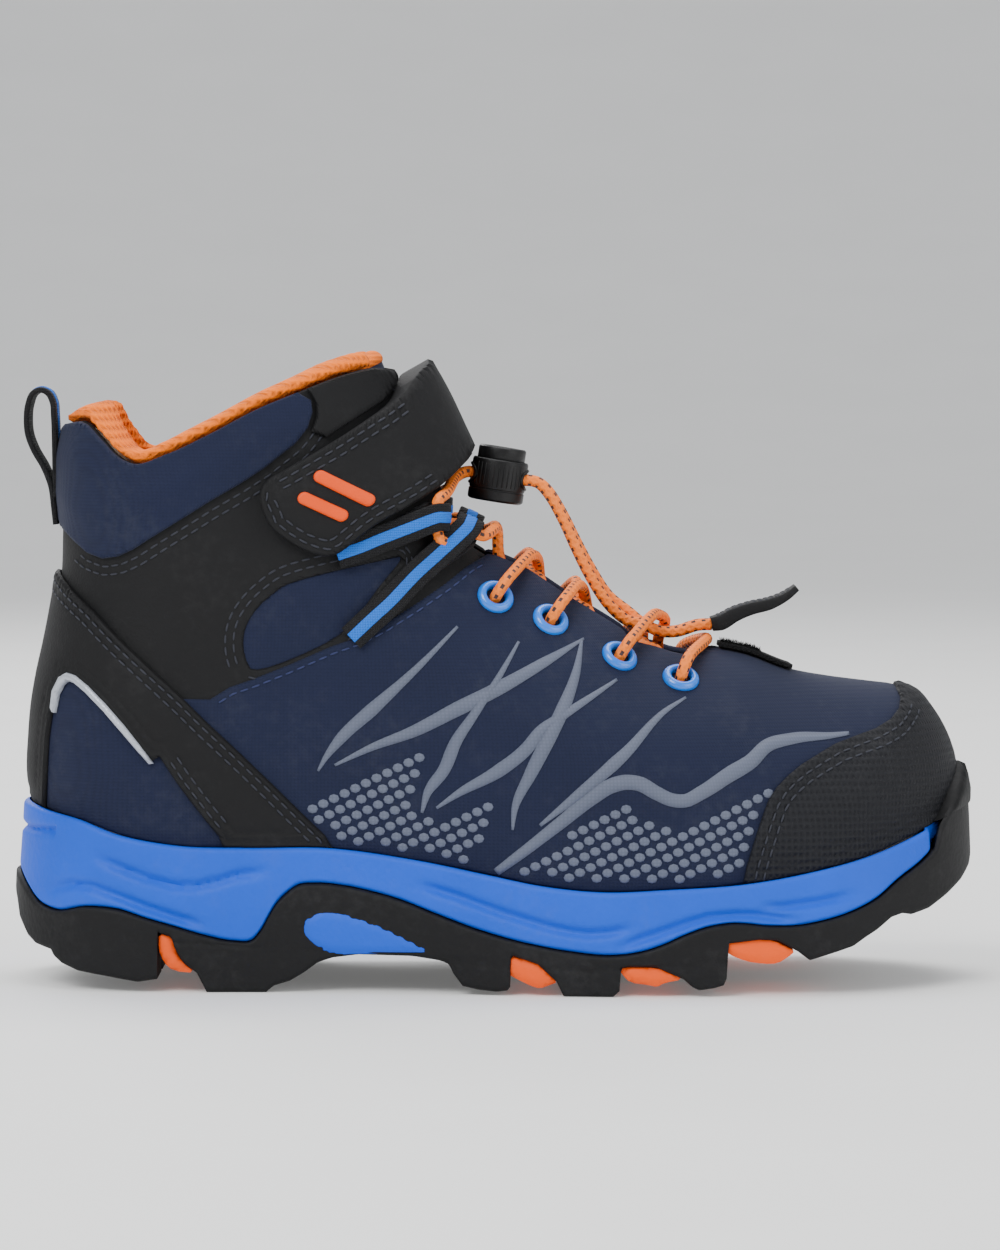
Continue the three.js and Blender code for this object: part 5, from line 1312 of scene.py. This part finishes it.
jumps = [-81.1, -76.9, -71.9, -69.6, -55.2, 3.65, 14.4, 16, 27.5, 28.9, 29.1, 43.7, 53.6, 70.4]
us = columnsFor(jumps, 500)
bottomPlan = [(0.08, 0), (0.24, 0), (0.255, 2.6), (0.29, 2.6), (0.305, 0), (0.5, 0), (0.695, 0),
              (0.71, 2.6),
              (0.745, 2.6), (0.76, 0), (0.92, 0)]
pts, faces = soleMesh(
    us, lambda x: np.interp(x, under[:, 0], under[:, 1]), outsoleHigh, rubberOut, 22,
    [(0.2, 0), (0.5, 0), (0.8, 0)], bottomPlan, 1.0)
outsole = tidyMesh(makeMesh("outsoleRubber", pts, faces), 0.00001)
finishPiece(sharpen(outsole, 45), "rubber", "upper", ["outsole"])
print("sole", len(midsole.data.polygons), len(outsole.data.polygons))


def wallPlug(name, kind, loop, hands, out, depth, replaced):
    # A plug in the side wall: an outline filled with triangles, carried out to the flared wall.
    line = densify(loop, 0.7)
    closed = np.vstack([line, line[:1]])
    filling = lattice(line, 1.3)
    verts, tri = triangulate([line], filling[lineDistance(filling, closed) > 0.6])
    d = lineDistance(verts, closed)
    rim = rimEdges(tri)
    u = np.linspace(0, 1, 700)
    points, tris, count = [], [], 0
    for hand in hands:
        r = u if hand < 0 else 2 - u
        ring, n = sample(r, np.full(700, -0.5))
        n[:, 2] = 0
        n = unit(n)
        base = alongRows(verts[:, 0], ring[:, 0], ring[:, :2])
        way = unit(alongRows(verts[:, 0], ring[:, 0], n[:, :2]))
        o = rubberFlare(verts[:, 1]) + out - 0.7 * (1 - turnOver(d, 0.7))
        x, y = verts[:, 0], base[:, 1] + way[:, 1] * o
        points += [np.stack([x, y, verts[:, 1]], 1),
                   np.stack([x, y - np.sign(way[:, 1]) * depth, verts[:, 1]], 1)]
        tris.append(shell(tri, rim, len(verts)) + count)
        count += 2 * len(verts)
    obj = tidyMesh(makeMesh(name, np.vstack(points), np.vstack(tris)), 0.00001)
    return finishPiece(sharpen(obj, 50), kind, "upper", replaced)


windowLoop = roundCorners([
    [-47, 15.2], [-46, 18], [-41.6, 19.9], [-36.7, 19.2], [-30, 17.1], [-24, 14.6], [-19, 12.2],
    [-13.5, 9.5],
    [-26.6, 9.5], [-33, 9.5], [-39.6, 9.1], [-45.4, 11.9]], 2)
wallPlug("archWindow", "foam", windowLoop, (-1, 1), 0.45, 6, ["arch_window_" + s for s in both])
inserts = [
    [[-80.8, 14.2], [-77.8, 13.2], [-77.1, 10.2], [-75.4, 7.2], [-72.1, 4.6], [-77.4, 5.1],
     [-79.8, 7.2], [-81, 10.5]],
    [[-1.1, 9.8], [1.3, 10.1], [5.6, 8.8], [9.9, 7.4], [12, 5.6], [14.1, 3.4], [12, 2.6], [9.9, 1.8],
     [7.7, 2.4], [4, 4.2], [1.3, 5.6], [-0.8, 7.7]],
    [[28.8, 6.6], [31.2, 7.2], [37.6, 6.9], [41.3, 5.8], [43.7, 4.2], [39.2, 3.4], [37.6, 2.4], [35.5, 2.9],
     [31.2, 3.4], [29.1, 5.6]],
    [[52.3, 12.3], [56, 13.1], [61.3, 13.6], [65.6, 13.1], [68.3, 11.7], [70.4, 10.6], [68.8, 9.3],
     [66.1, 7.7], [62.9, 7.7], [58.7, 8.3], [54.4, 10.1]],
]
for i, loop in enumerate(inserts):
    wallPlug("treadInsert" + str(i + 1), "orangeRubber", roundCorners(loop, 1), (-1, 1), -0.5, 30,
             ["tread_insert_" + str(i + 1)])
print("plugs")


# Ankle strap.
def strapOut(flat, uv, d):
    return 2.3 + 4 * smoothstep(uv[:, 0], 0.66, 0.93)


frontHeights = at(front, np.linspace(0, 1, 400))[:, 1]
lowest = float(np.interp(125.0, frontHeights, np.linspace(0, 1, 400)))
frontTop = [list(p) for p in at(front, np.linspace(1, lowest, 14))]
strapOuterLoop = ([[-54.2, 122.5], [-51.3, 124], [-40, 130.6], [-30, 137.2], [-26.3, 140.2], [-24.9, 143.5]]
                  + frontTop + [[-16.5, 119.0], [-21.7, 115.4], [-28.9, 111.6], [-32.2, 109.3],
                                [-37.3, 104.9], [-40.2, 103.6], [-43.2, 104.2], [-46.9, 105.7],
                                [-50.5, 107.9], [-54.2, 110.8], [-56.8, 116.7], [-56.4, 120.3]])
strapInnerLoop = ([[-50, 125], [-40, 130.6], [-30, 137.2], [-26.3, 140.2], [-24.9, 143.5]] + frontTop
                  + [[-16.5, 120.2], [-21.7, 116.2], [-28.9, 111.6], [-36, 106.4], [-44, 104]])


def bendEnds(line, hand):
    # Where a bend across the strap starts and ends: its middle, 3 mm out, moved along the strap.
    x, z = (line[0][0] + line[1][0]) / 2, (line[0][1] + line[1][1]) / 2
    p, n = spot(x, z, hand)
    q, _ = spot(x - 3.4, z - 2.2, hand)
    way = unit(q - p)
    return [((p + n * 3 + way * reach + shift) * mm).tolist() for reach in (3.5, -3.5)]


tipBend = bendEnds(([-20.3, 116.6], [-33.8, 137]), -1)
rootBend = bendEnds(([-26.6, 113.2], [-41.8, 130.4]), 1)
for name, loop, hand, a, b, ends in (
        ("strapOuter", strapOuterLoop, -1, "strap_tip", "strap", tipBend),
        ("strapInner", strapInnerLoop, 1, "upper", "strap", rootBend)):
    pts, tris = panelMesh(clip(roundCorners(loop, 1).tolist()), (hand,), 0.0, 1.6, shape=strapOut,
                          grooves=(1.7, 3.6), softEdge=0.7)
    obj = sharpen(tidyMesh(makeMesh(name, pts, tris), 0.00001), 50)
    obj.data.materials.append(paint["black"])
    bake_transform(obj)
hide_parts("strap_tip", "strap_front")
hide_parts("strap_root")


def raisedStitches(name, lines, hand, extra=1.6):
    # Stitches on the strap: laid like the others, then lifted by the strap's own distance.
    obj = stitches(name, "thread", lines, (hand,), 0.0, body=None)
    co = np.empty(len(obj.data.vertices) * 3, np.float32)
    obj.data.vertices.foreach_get("co", co)
    p = co.reshape(-1, 3) / mm - shift
    uv = unwrap(p[:, [0, 2]])
    _, n = onSide(uv, hand)
    p = p + n * (strapOut(None, uv, None) + extra)[:, None]
    obj.data.vertices.foreach_set("co", ((p + shift) * mm).astype(np.float32).ravel())
    obj.data.update()
    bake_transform(obj)
    return obj


outerEdge = strapOuterLoop[:5]
lowerEdge = [[-16.5, 119.0], [-21.7, 115.4], [-28.9, 111.6], [-32.2, 109.3], [-37.3, 104.9], [-40.2, 103.6],
             [-43.2, 104.2], [-46.9, 105.7], [-50.5, 107.9], [-54.2, 110.8], [-56.8, 116.7],
             [-56.4, 120.3], [-54.2, 122.5]]
raisedStitches("seamStrap", [parallel(outerEdge, -1.8), parallel(outerEdge, -3.7),
                             parallel(lowerEdge, -1.8), parallel(lowerEdge, -3.7)],
              -1)


def bar(a, b, half):
    run = math.dist(a, b)
    dx, dz = (b[0] - a[0]) / run, (b[1] - a[1]) / run
    out = []
    for end, first in ((b, -90), (a, 90)):
        for k in range(9):
            t = math.radians(first + 180 * k / 8)
            c, s = math.cos(t) * half, math.sin(t) * half
            out.append([end[0] + dx * c - dz * s, end[1] + dz * c + dx * s])
    return out


for name, a, b in (("Upper", [-43, 122.4], [-32.3, 116.5]), ("Lower", [-46.4, 117.5], [-38, 113.2])):
    panel("strapBar" + name, "bar", bar(a, b, 1.45), (-1,), 1.62, 1.0, "strap_tip",
          ["strap_bar_" + name.lower()],
          shape=strapOut, softEdge=0.8, step=0.8)
print("strap")


# Webbing loops and eyelets.
def webbingLoop(name, path, hand, eye, cordWay, replaced):
    # A tape sewn to the boot, running to the cord, round it and back under itself.
    marks = [spot(x, z, hand) for x, z, _ in path]
    line = [m[0] + m[1] * p[2] for m, p in zip(marks, path)]
    ups = [m[1] for m in marks]
    cordWay = unit(cordWay)
    up = unit(ups[-1] - cordWay * (ups[-1] @ cordWay))
    to = unit(np.cross(cordWay, up))
    toward = unit(eye - line[-1])
    if to @ toward < 0:
        to = -to
    ring = [(eye + 2.1 * (math.cos(t) * up + math.sin(t) * to), math.cos(t) * up + math.sin(t) * to)
            for t in np.radians(np.arange(-15, 226, 20))]
    line += [p for p, _ in ring]
    ups += [n for _, n in ring]
    back = line[len(path) - 1] - ups[len(path) - 1] * 0.5
    line += [back]
    ups += [-unit(ups[len(path) - 1])]
    points = np.array(line)
    s = arcLength(points)
    t = np.linspace(0, s[-1], 90)
    smooth = curveThrough(points, 90)
    n = alongRows(t, s, np.array(ups))
    black = sweep(name, smooth, n, roundSection(6.6, 1.2, 0.0, 0.4, 3))
    finishPiece(black, "webBlack", "upper", replaced)
    stripe = sweep(name + "Stripe", smooth, n, roundSection(2.6, 0.35, 1.0, 0.12, 2))
    finishPiece(stripe, "webBlue", "upper")
    return black


for side, hand in (("lateral", -1), ("medial", 1)):
    upper, _, lower, _ = loopEyes(hand)
    webbingLoop("loopUpper" + side.title(), [[-38.5, 104.0, 0.2], [-33, 105.8, 0.35], [-29, 107.4, 0.6],
                                             [-24, 109.2, 1.4]],
                hand, upper, [0.05, 0, 1], ["lace_loop_upper_" + side])
    webbingLoop("loopLower" + side.title(), [[-35, 84.3, 0.2], [-30, 89, 0.3], [-26, 92.6, 0.4],
                                             [-20, 98.9, 0.8], [-15.6, 102.8, 1.6]],
                hand, lower, [1, 0, -0.45], ["lace_loop_lower_" + side])

eyeletProfile = [[2.35, -2.0], [2.35, 0.7], [2.5, 1.15], [2.9, 1.5], [3.4, 1.52], [3.9, 1.3], [4.3, 0.85],
                 [4.5, 0.3], [4.45, -0.1], [3.2, -0.3], [3.0, -2.0]]
for side, hand in (("lateral", -1), ("medial", 1)):
    for i, (x, z) in enumerate(eyeletPlaces):
        p, up = spot(x, z, hand)
        a = unit(np.cross(up, [0.1, 0.9, 0.3]))
        b = np.cross(up, a)
        t = np.arange(40) / 40 * 2 * np.pi
        prof = np.array(eyeletProfile)
        ringWay = np.cos(t)[:, None] * a + np.sin(t)[:, None] * b
        grid = p + ringWay[:, None] * prof[None, :, :1] + up * prof[None, :, 1:]
        obj = makeMesh("eyelet" + side.title() + str(i + 1), grid.reshape(-1, 3),
                       gridFaces(40, len(prof), True, True))
        finishPiece(sharpen(tidyMesh(obj), 50), "gloss", "upper", ["eyelet_%s_%d" % (side, i + 1)])
print("loops and eyelets")


# Cord lock.
def lathe(name, profile, sides=56):
    # A profile of [radius, height] turned about the lock's own axis.
    prof = np.array(profile, float)
    t = np.arange(sides) / sides * 2 * np.pi
    x, y = np.cos(t)[:, None] * prof[None, :, 0], np.sin(t)[:, None] * prof[None, :, 0]
    z = np.broadcast_to(prof[None, :, 1], x.shape)
    c, s = math.cos(lockTurn), math.sin(lockTurn)
    grid = np.stack([x * c + z * s, y, -x * s + z * c], 2) + lockBase
    obj = makeMesh(name, grid.reshape(-1, 3), gridFaces(sides, len(prof), wrapRows=True))
    return sharpen(tidyMesh(obj, 0.00001), 35)


barrelShape = [[0, 0], [5.9, 0], [6.4, 0.15], [6.75, 0.5], [6.8, 1.0], [6.8, 2.6], [6.65, 2.75],
               [6.65, 3.0], [6.8, 3.15],
               [6.8, 9.6], [6.72, 10.05], [6.45, 10.3], [6.2, 10.3], [6.15, 10.1], [6.12, 9.4],
               [6.1, 1.25], [0, 1.2]]
# the foot stays above the cords through the whole of the button's travel
buttonShape = [[0, 9.4], [5.6, 9.4], [5.8, 9.7], [5.8, 12.7], [5.72, 13.1], [5.4, 13.38], [4.6, 13.4],
               [4.3, 13.2], [0, 13.15]]
barrel = lathe("lockBarrel", barrelShape)
finishPiece(barrel, "plastic", "cord_lock", ["cord_lock_barrel"])
button = lathe("lockButton", buttonShape)
finishPiece(button, "plastic", "cord_lock_button", ["cord_lock_button"])


def lockGrommet(name, sign):
    # The raised oval rim where the two cords come out of the barrel's wall.
    t = np.linspace(0, 2 * np.pi, 37)[:-1]
    y, z = np.cos(t) * (cordApart + 2.3), np.sin(t) * 2.3
    x = np.sqrt(np.maximum(6.8**2 - y**2, 0)) * sign
    path = np.array([inLock(a, b, cordHeight + c) for a, b, c in zip(x, y, z)])
    outward = np.array([inLock(sign, 0, 0) - inLock(0, 0, 0)] * len(path))
    obj = sweep(name, path, outward, circle(0.42, 8), closedPath=True)
    finishPiece(obj, "plastic", "cord_lock")
    return obj


lockGrommet("lockRimFront", 1)
lockGrommet("lockRimBack", -1)


def ribMesh():
    # Fine upright ribs round the barrel's upper half.
    points, faces, count = [], [], 0
    for k in range(36):
        a = 2 * np.pi * k / 36
        if abs(math.cos(a)) > 0.86:
            continue
        for da, rr in ((-0.035, 6.7), (0, 7.0), (0.035, 6.7)):
            for z in (3.6, 4.0, 9.0, 9.4):
                r = rr if z in (4.0, 9.0) or rr < 6.8 else 6.75
                points.append(inLock(math.cos(a + da) * r, math.sin(a + da) * r, z))
        quad = gridFaces(3, 4) + count
        faces += quad.tolist() + [[count, count + 8, count + 9, count + 1],
                                  [count + 1, count + 9, count + 10, count + 2],
                                  [count + 2, count + 10, count + 11, count + 3],
                                  [count, count + 4, count + 8], [count + 3, count + 11, count + 7]]
        count += 12
    return makeMesh("lockRibs", np.array(points), faces)


ribs = tidyMesh(ribMesh())
finishPiece(ribs, "plastic", "cord_lock")
print("cord lock")


# Lace-end tab and its base strip.
tabLine = smoothLine([[51.9, 0, 86.1], [54.2, 0, 86.6], [57.4, 0, 88.4], [61, 0, 89.8], [66.4, 0, 91.2],
                      [70.2, 0, 93.1], [72.6, 0, 95]], 60)
taperTab = np.interp(np.linspace(0, 1, 60), [0, 0.06, 0.9, 1], [0.9, 1, 1, 0.9])
upTab = np.tile([-0.35, 0, 1.0], (60, 1))
thickTab = np.interp(tabLine[:, 0], [52, 54, 60, 66, 72.6], [3.2, 3.7, 3.0, 2.6, 1.5])
sectionTab = np.array(roundSection(11.0, 1.0, -0.5, 0.42, 4))
run = unit(np.gradient(tabLine, axis=0))
level = unit(upTab - run * (upTab * run).sum(1, keepdims=True))
grid = (tabLine[:, None] + np.array([0, 1.0, 0]) * sectionTab[None, :, :1] * taperTab[:, None, None]
        + level[:, None] * sectionTab[None, :, 1:] * thickTab[:, None, None])
k = len(sectionTab)
quads = gridFaces(60, k, wrapColumns=True).tolist() + [list(range(k)), [59 * k + j for j in range(k)][::-1]]
tab = tidyMesh(makeMesh("laceEndTab", grid.reshape(-1, 3), quads))
finishPiece(sharpen(tab, 50), "black", "lace_end_tab", ["lace_end_tab"])
dash = []
for y in (-3.7, 3.7):
    for i in range(4, 54, 4):
        p = tabLine[i] + level[i] * (thickTab[i] / 2 + 0.02) + [0, y, 0]
        q = tabLine[i + 3] + level[i + 3] * (thickTab[i + 3] / 2 + 0.02) + [0, y, 0]
        dash.append((p, q))
pts, faces = [], []
for i, (p, q) in enumerate(dash):
    for f, w in ((0, 0.06), (0.2, 0.17), (0.8, 0.17), (1, 0.06)):
        c = p * (1 - f) + q * f
        pts += [c + [0, -w, 0], c + [-0.3 * w, 0, w], c + [0, w, 0], c + [0.3 * w, 0, -w]]
    faces += ringFaces(4, 4, i * 16)
obj = tidyMesh(makeMesh("seamTab", np.array(pts), faces))
finishPiece(obj, "thread", "lace_end_tab")

path = np.array([crest(riseOf(x), 0, 0.1) for x in np.linspace(70.8, 53.5, 40)])
ups = np.array([crest(riseOf(x), 0, 1.1) for x in np.linspace(70.8, 53.5, 40)]) - path
strip = sweep("tabBaseStrip", path, ups, roundSection(11, 1.2, 0.0, 0.4, 3))
finishPiece(strip, "hook", "upper", ["tab_base_strip"])


def fuzzMesh(name, count, area, lift, long):
    # Short hooked bristles standing on the crest of the vamp.
    points, faces = [], []
    for i in range(count):
        x, y = rng.uniform(*area[0]), rng.uniform(*area[1])
        base = crest(riseOf(x), y, lift)
        lean = np.array([rng.normal(0, 0.5), rng.normal(0, 0.5), 1.0])
        tip = base + unit(lean) * long * rng.uniform(0.7, 1.1)
        w = 0.13
        k = len(points)
        points += [base + [w, 0, 0], base + [-w / 2, w, 0], base + [-w / 2, -w, 0], tip]
        faces += [[k, k + 1, k + 3], [k + 1, k + 2, k + 3], [k + 2, k, k + 3], [k + 2, k + 1, k]]
    return makeMesh(name, np.array(points), faces)


fuzz = fuzzMesh("tabFuzz", 420, ((54.0, 63.5), (-5, 5)), 1.2, 1.4)
finishPiece(fuzz, "hook", "upper")


# Heel pull loop.
pull = [[-107.3, 0, 110.5], [-107.8, 0, 115], [-108.4, 0, 119.6], [-110.2, 0, 124.4], [-112.6, 0, 128.6],
        [-114.0, 0, 132.4], [-114.3, 0, 136], [-113.9, 0, 139.6], [-112.7, 0, 142.3], [-111.1, 0, 143.1],
        [-109.2, 0, 142.4], [-108, 0, 140.2], [-107.7, 0, 137], [-107.5, 0, 131], [-107.4, 0, 124],
        [-107.3, 0, 117]]
path = smoothLine(pull, 130)
run = unit(np.gradient(path, axis=0))
outward = np.stack([-run[:, 2], 0 * run[:, 0], run[:, 0]], 1)
loop = sweep("heelPull", path, outward, roundSection(13, 1.35, -0.68, 0.5, 4))
finishPiece(loop, "webBlack", "upper", ["heel_pull_loop"])
stripe = sweep("heelPullStripe", path[8:110], outward[8:110], roundSection(4.2, 0.3, 0.55, 0.12, 2))
finishPiece(stripe, "webBlue", "upper")


# Tongue.
def tongueAt(s, t, out):
    low = riseOf(56)
    rise = low + (1.04 - low) * s
    half = 19 + 6 * s
    y = (t * 2 - 1) * half
    up = min(max((s - 0.45) / 0.5, 0), 1)
    depth = -7.1 + 3.3 * up * up * (3 - 2 * up)
    p = crest(min(rise, 0.995), y, depth + out - 3 * (2 * t - 1) ** 4)
    if rise > 0.995:
        p = p + np.array([-(rise - 0.995) * 60, 0, (rise - 0.995) * 150])
    return p


def tongueMesh(name, low, high, inset=0.0, rows=60, columns=26, roll=0.0):
    # A closed padded slab under the throat, rounded at its rim.
    ss, tt = np.linspace(0, 1 - inset * 0.5, rows), np.linspace(inset, 1 - inset, columns)
    layers = []
    for sign, value in ((1, high), (-1, low)):
        grid = np.empty((rows, columns, 3))
        for i, s in enumerate(ss):
            for j, t in enumerate(tt):
                edge = min((t - tt[0]) * 40, (tt[-1] - t) * 40, (ss[-1] - s) * 90)
                f = math.sqrt(max(0, 1 - (1 - min(edge, 2.2) / 2.2) ** 2))
                middle = (low + high) / 2
                grid[i, j] = tongueAt(s, t, middle + (value - middle) * (0.25 + 0.75 * f))
        layers.append(grid)
    top, bottom = layers
    n = rows * columns
    quads = np.vstack([gridFaces(rows, columns), gridFaces(rows, columns)[:, ::-1] + n])
    index = np.arange(n).reshape(rows, columns)
    rim = np.r_[index[0, :-1], index[:-1, -1], index[-1, :0:-1], index[:0:-1, 0]]
    side = np.stack([rim, np.roll(rim, -1), np.roll(rim, -1) + n, rim + n], 1)
    return tidyMesh(makeMesh(name, np.vstack([top.reshape(-1, 3), bottom.reshape(-1, 3)]),
                             np.vstack([quads, side])))


tongue = tongueMesh("tongueShell", -1.1, 0.1)
finishPiece(tongue, "navy", "upper", ["tongue_shell"])
tonguePad = tongueMesh("tonguePad", -5.2, -1.3, 0.04)
finishPiece(tonguePad, "lining", "upper", ["tongue_padding"])
path = np.array([tongueAt(1.0, t, -1.6) for t in np.linspace(0.1, 0.9, 60)])
binding = sweep("tongueTop", path, np.tile([0.2, 0, 1.0], (60, 1)),
                [[a * 2.4, b * 1.8] for a, b in circle(1.0, 16)],
                          taper=np.sqrt(np.maximum(0.05, 1 - np.linspace(-1, 1, 60) ** 6)))
finishPiece(binding, "mesh", "upper")


# Lining and its rolled collar.
liningThroat = np.array([[125, 60], [54, 62], [52, 65], [40, 66.5], [28, 71], [14, 79.5], [-2, 86],
                         [-12, 98],
                         [-19, 117], [-22.5, 129], [-26.3, 138], [-29, 146], [-29.5, 150]])


def padAt(u, v):
    return 5.5 * smoothstep(v, 0.42, 0.72) * (1 - smoothstep(u, 0.7, 0.86))


def liningGrid(columns=200, rows=70):
    # Rows run up the outer face, over the roll and down inside; columns run round the heel from one
    # edge of the throat to the other.
    up = np.linspace(0, 1, rows)
    fan = np.linspace(0, 1, 400)
    limit = []
    for v in up:
        side = planXZ(fan, np.full(400, v))
        edge = np.interp(side[:, 1], liningThroat[:, 1], liningThroat[:, 0])
        ok = side[:, 0] <= edge
        limit.append(fan[ok].max() if ok.any() else 1.0)
    limit = np.array(limit)
    s = np.linspace(-1, 1, columns)
    profile = ([(v, "o", 0.0) for v in up]
               + [(1.005, "r", -1.9), (1.02, "r", -1.1), (1.038, "r", -1.2), (1.05, "r", -1.9),
                  (1.058, "r", -3.0), (1.06, "r", -4.3), (1.05, "r", -5.6)] + [(1.02, "i", 0.0)]
               + [(v, "i", 0.0) for v in up[::-1]])
    layers = []
    for v, kind, o in profile:
        vv = min(v, 1.0)
        u = np.abs(s) * np.interp(vv, up, limit)
        r = np.where(s < 0, u, 2 - u) % 2
        pad = padAt(u, np.full(columns, vv))
        wave = 0.25 * np.sin(s * 190) * smoothstep(np.full(columns, v), 0.85, 1.0)
        if kind == "o":
            out = -3.55 - pad
        elif kind == "r":
            share = (-o - 1.1) / 4.5
            out = -1.3 - (share * (3.2 + pad)) + wave
        else:
            out = -4.65 - pad + wave
        p, _ = sample(r, np.full(columns, v), out)
        layers.append(p)
    grid = np.stack(layers, 0)
    n = len(profile)
    faces = gridFaces(n, columns)
    index = np.arange(n * columns).reshape(n, columns)
    bottom = np.stack([index[0, :-1], index[0, 1:], index[-1, 1:], index[-1, :-1]], 1)
    sides = []
    half = n // 2
    for col in (0, columns - 1):
        for i in range(half):
            sides.append([index[i, col], index[i + 1, col], index[n - 2 - i, col], index[n - 1 - i, col]])
    return grid.reshape(-1, 3), faces.tolist() + bottom.tolist() + sides


pts, faces = liningGrid()
liningObject = tidyMesh(makeMesh("liningRoll", pts, faces))
finishPiece(liningObject, "lining", "upper", ["lining"])
print("lining and tongue")


# Pieces kept as the part made them.
kept = {
    "insole": "insole", "insole_board": "board", "heel_counter": "stiffener", "toe_puff": "stiffener",
    "collar_foam": "cream", "strap_hook_patch": "hook", "cord_lock_spring": "steel",
}
for node, kind in kept.items():
    nodes[node].data.materials.clear()
    nodes[node].data.materials.append(paint[kind])


# Floor and light.
def stageSurface():
    # A round floor: flat out to the bowl's foot, then a quarter of an ellipse up to its rim, the
    # same all the way round so that no side of the boot is hidden by it.
    bowl = {"foot": 2.0, "rim": 4.6, "height": 2.6, "rings": 40, "spokes": 64}
    t = np.linspace(0, 1, bowl["rings"])
    rise = np.clip((t - 0.4) / 0.6, 0, 1) * np.pi / 2
    away = np.where(t < 0.4, t / 0.4 * bowl["foot"],
                    bowl["foot"] + (bowl["rim"] - bowl["foot"]) * np.sin(rise))
    z = bowl["height"] * (1 - np.cos(rise))
    turn = np.linspace(0, 2 * np.pi, bowl["spokes"], endpoint=False)
    grid = np.stack([away[1:, None] * np.cos(turn), away[1:, None] * np.sin(turn),
                     np.broadcast_to(z[1:, None], (len(t) - 1, len(turn)))], 2)
    index = np.arange(grid.shape[0] * len(turn)).reshape(grid.shape[0], len(turn)) + 1
    after = np.roll(index, -1, 1)
    faces = np.stack([index[:-1], index[1:], after[1:], after[:-1]], 2).reshape(-1, 4).tolist()
    faces += [[0, a, b] for a, b in zip(index[0].tolist(), after[0].tolist())]
    mesh = bpy.data.meshes.new("floor")
    mesh.from_pydata([[0.0, 0.0, 0.0]] + grid.reshape(-1, 3).tolist(), [], faces)
    mesh.polygons.foreach_set("use_smooth", [True] * len(mesh.polygons))
    obj = bpy.data.objects.new("floor", mesh)
    bpy.context.scene.collection.objects.link(obj)
    m, t, shader = newMaterial("floor")
    place = addNode(t, "ShaderNodeTexCoord").outputs["Object"]
    tone = mixNode(t, noiseNode(t, place, 14.0), (0.79, 0.79, 0.78, 1), (0.83, 0.83, 0.82, 1))
    t.links.new(tone, shader.inputs["Base Color"])
    t.links.new(tone, shader.inputs["Emission Color"])
    shader.inputs["Emission Strength"].default_value = 0.16  # keeps the far wall as pale as the floor
    shader.inputs["Roughness"].default_value = 0.85
    mesh.materials.append(m)


stageSurface()
world = bpy.data.worlds.new("studio")
world.use_nodes = True
world.node_tree.nodes["Background"].inputs[0].default_value = (0.93, 0.95, 1.0, 1)
world.node_tree.nodes["Background"].inputs[1].default_value = 0.6
bpy.context.scene.world = world
for name, place, size, power in (
        ("key", (-0.7, -1.1, 1.25), 0.9, 24), ("fill", (1.3, -1.0, 0.6), 1.2, 11),
        ("top", (0.1, 0.35, 1.5), 1.0, 16),
        ("back", (-0.6, 1.2, 0.9), 0.8, 10)):
    data = bpy.data.lights.new(name, "AREA")
    data.energy, data.size = power, size
    lamp = bpy.data.objects.new(name, data)
    lamp.location = place
    lamp.rotation_euler = (Vector((0, 0, 0.07)) - Vector(place)).to_track_quat("-Z", "Y").to_euler()
    bpy.context.scene.collection.objects.link(lamp)
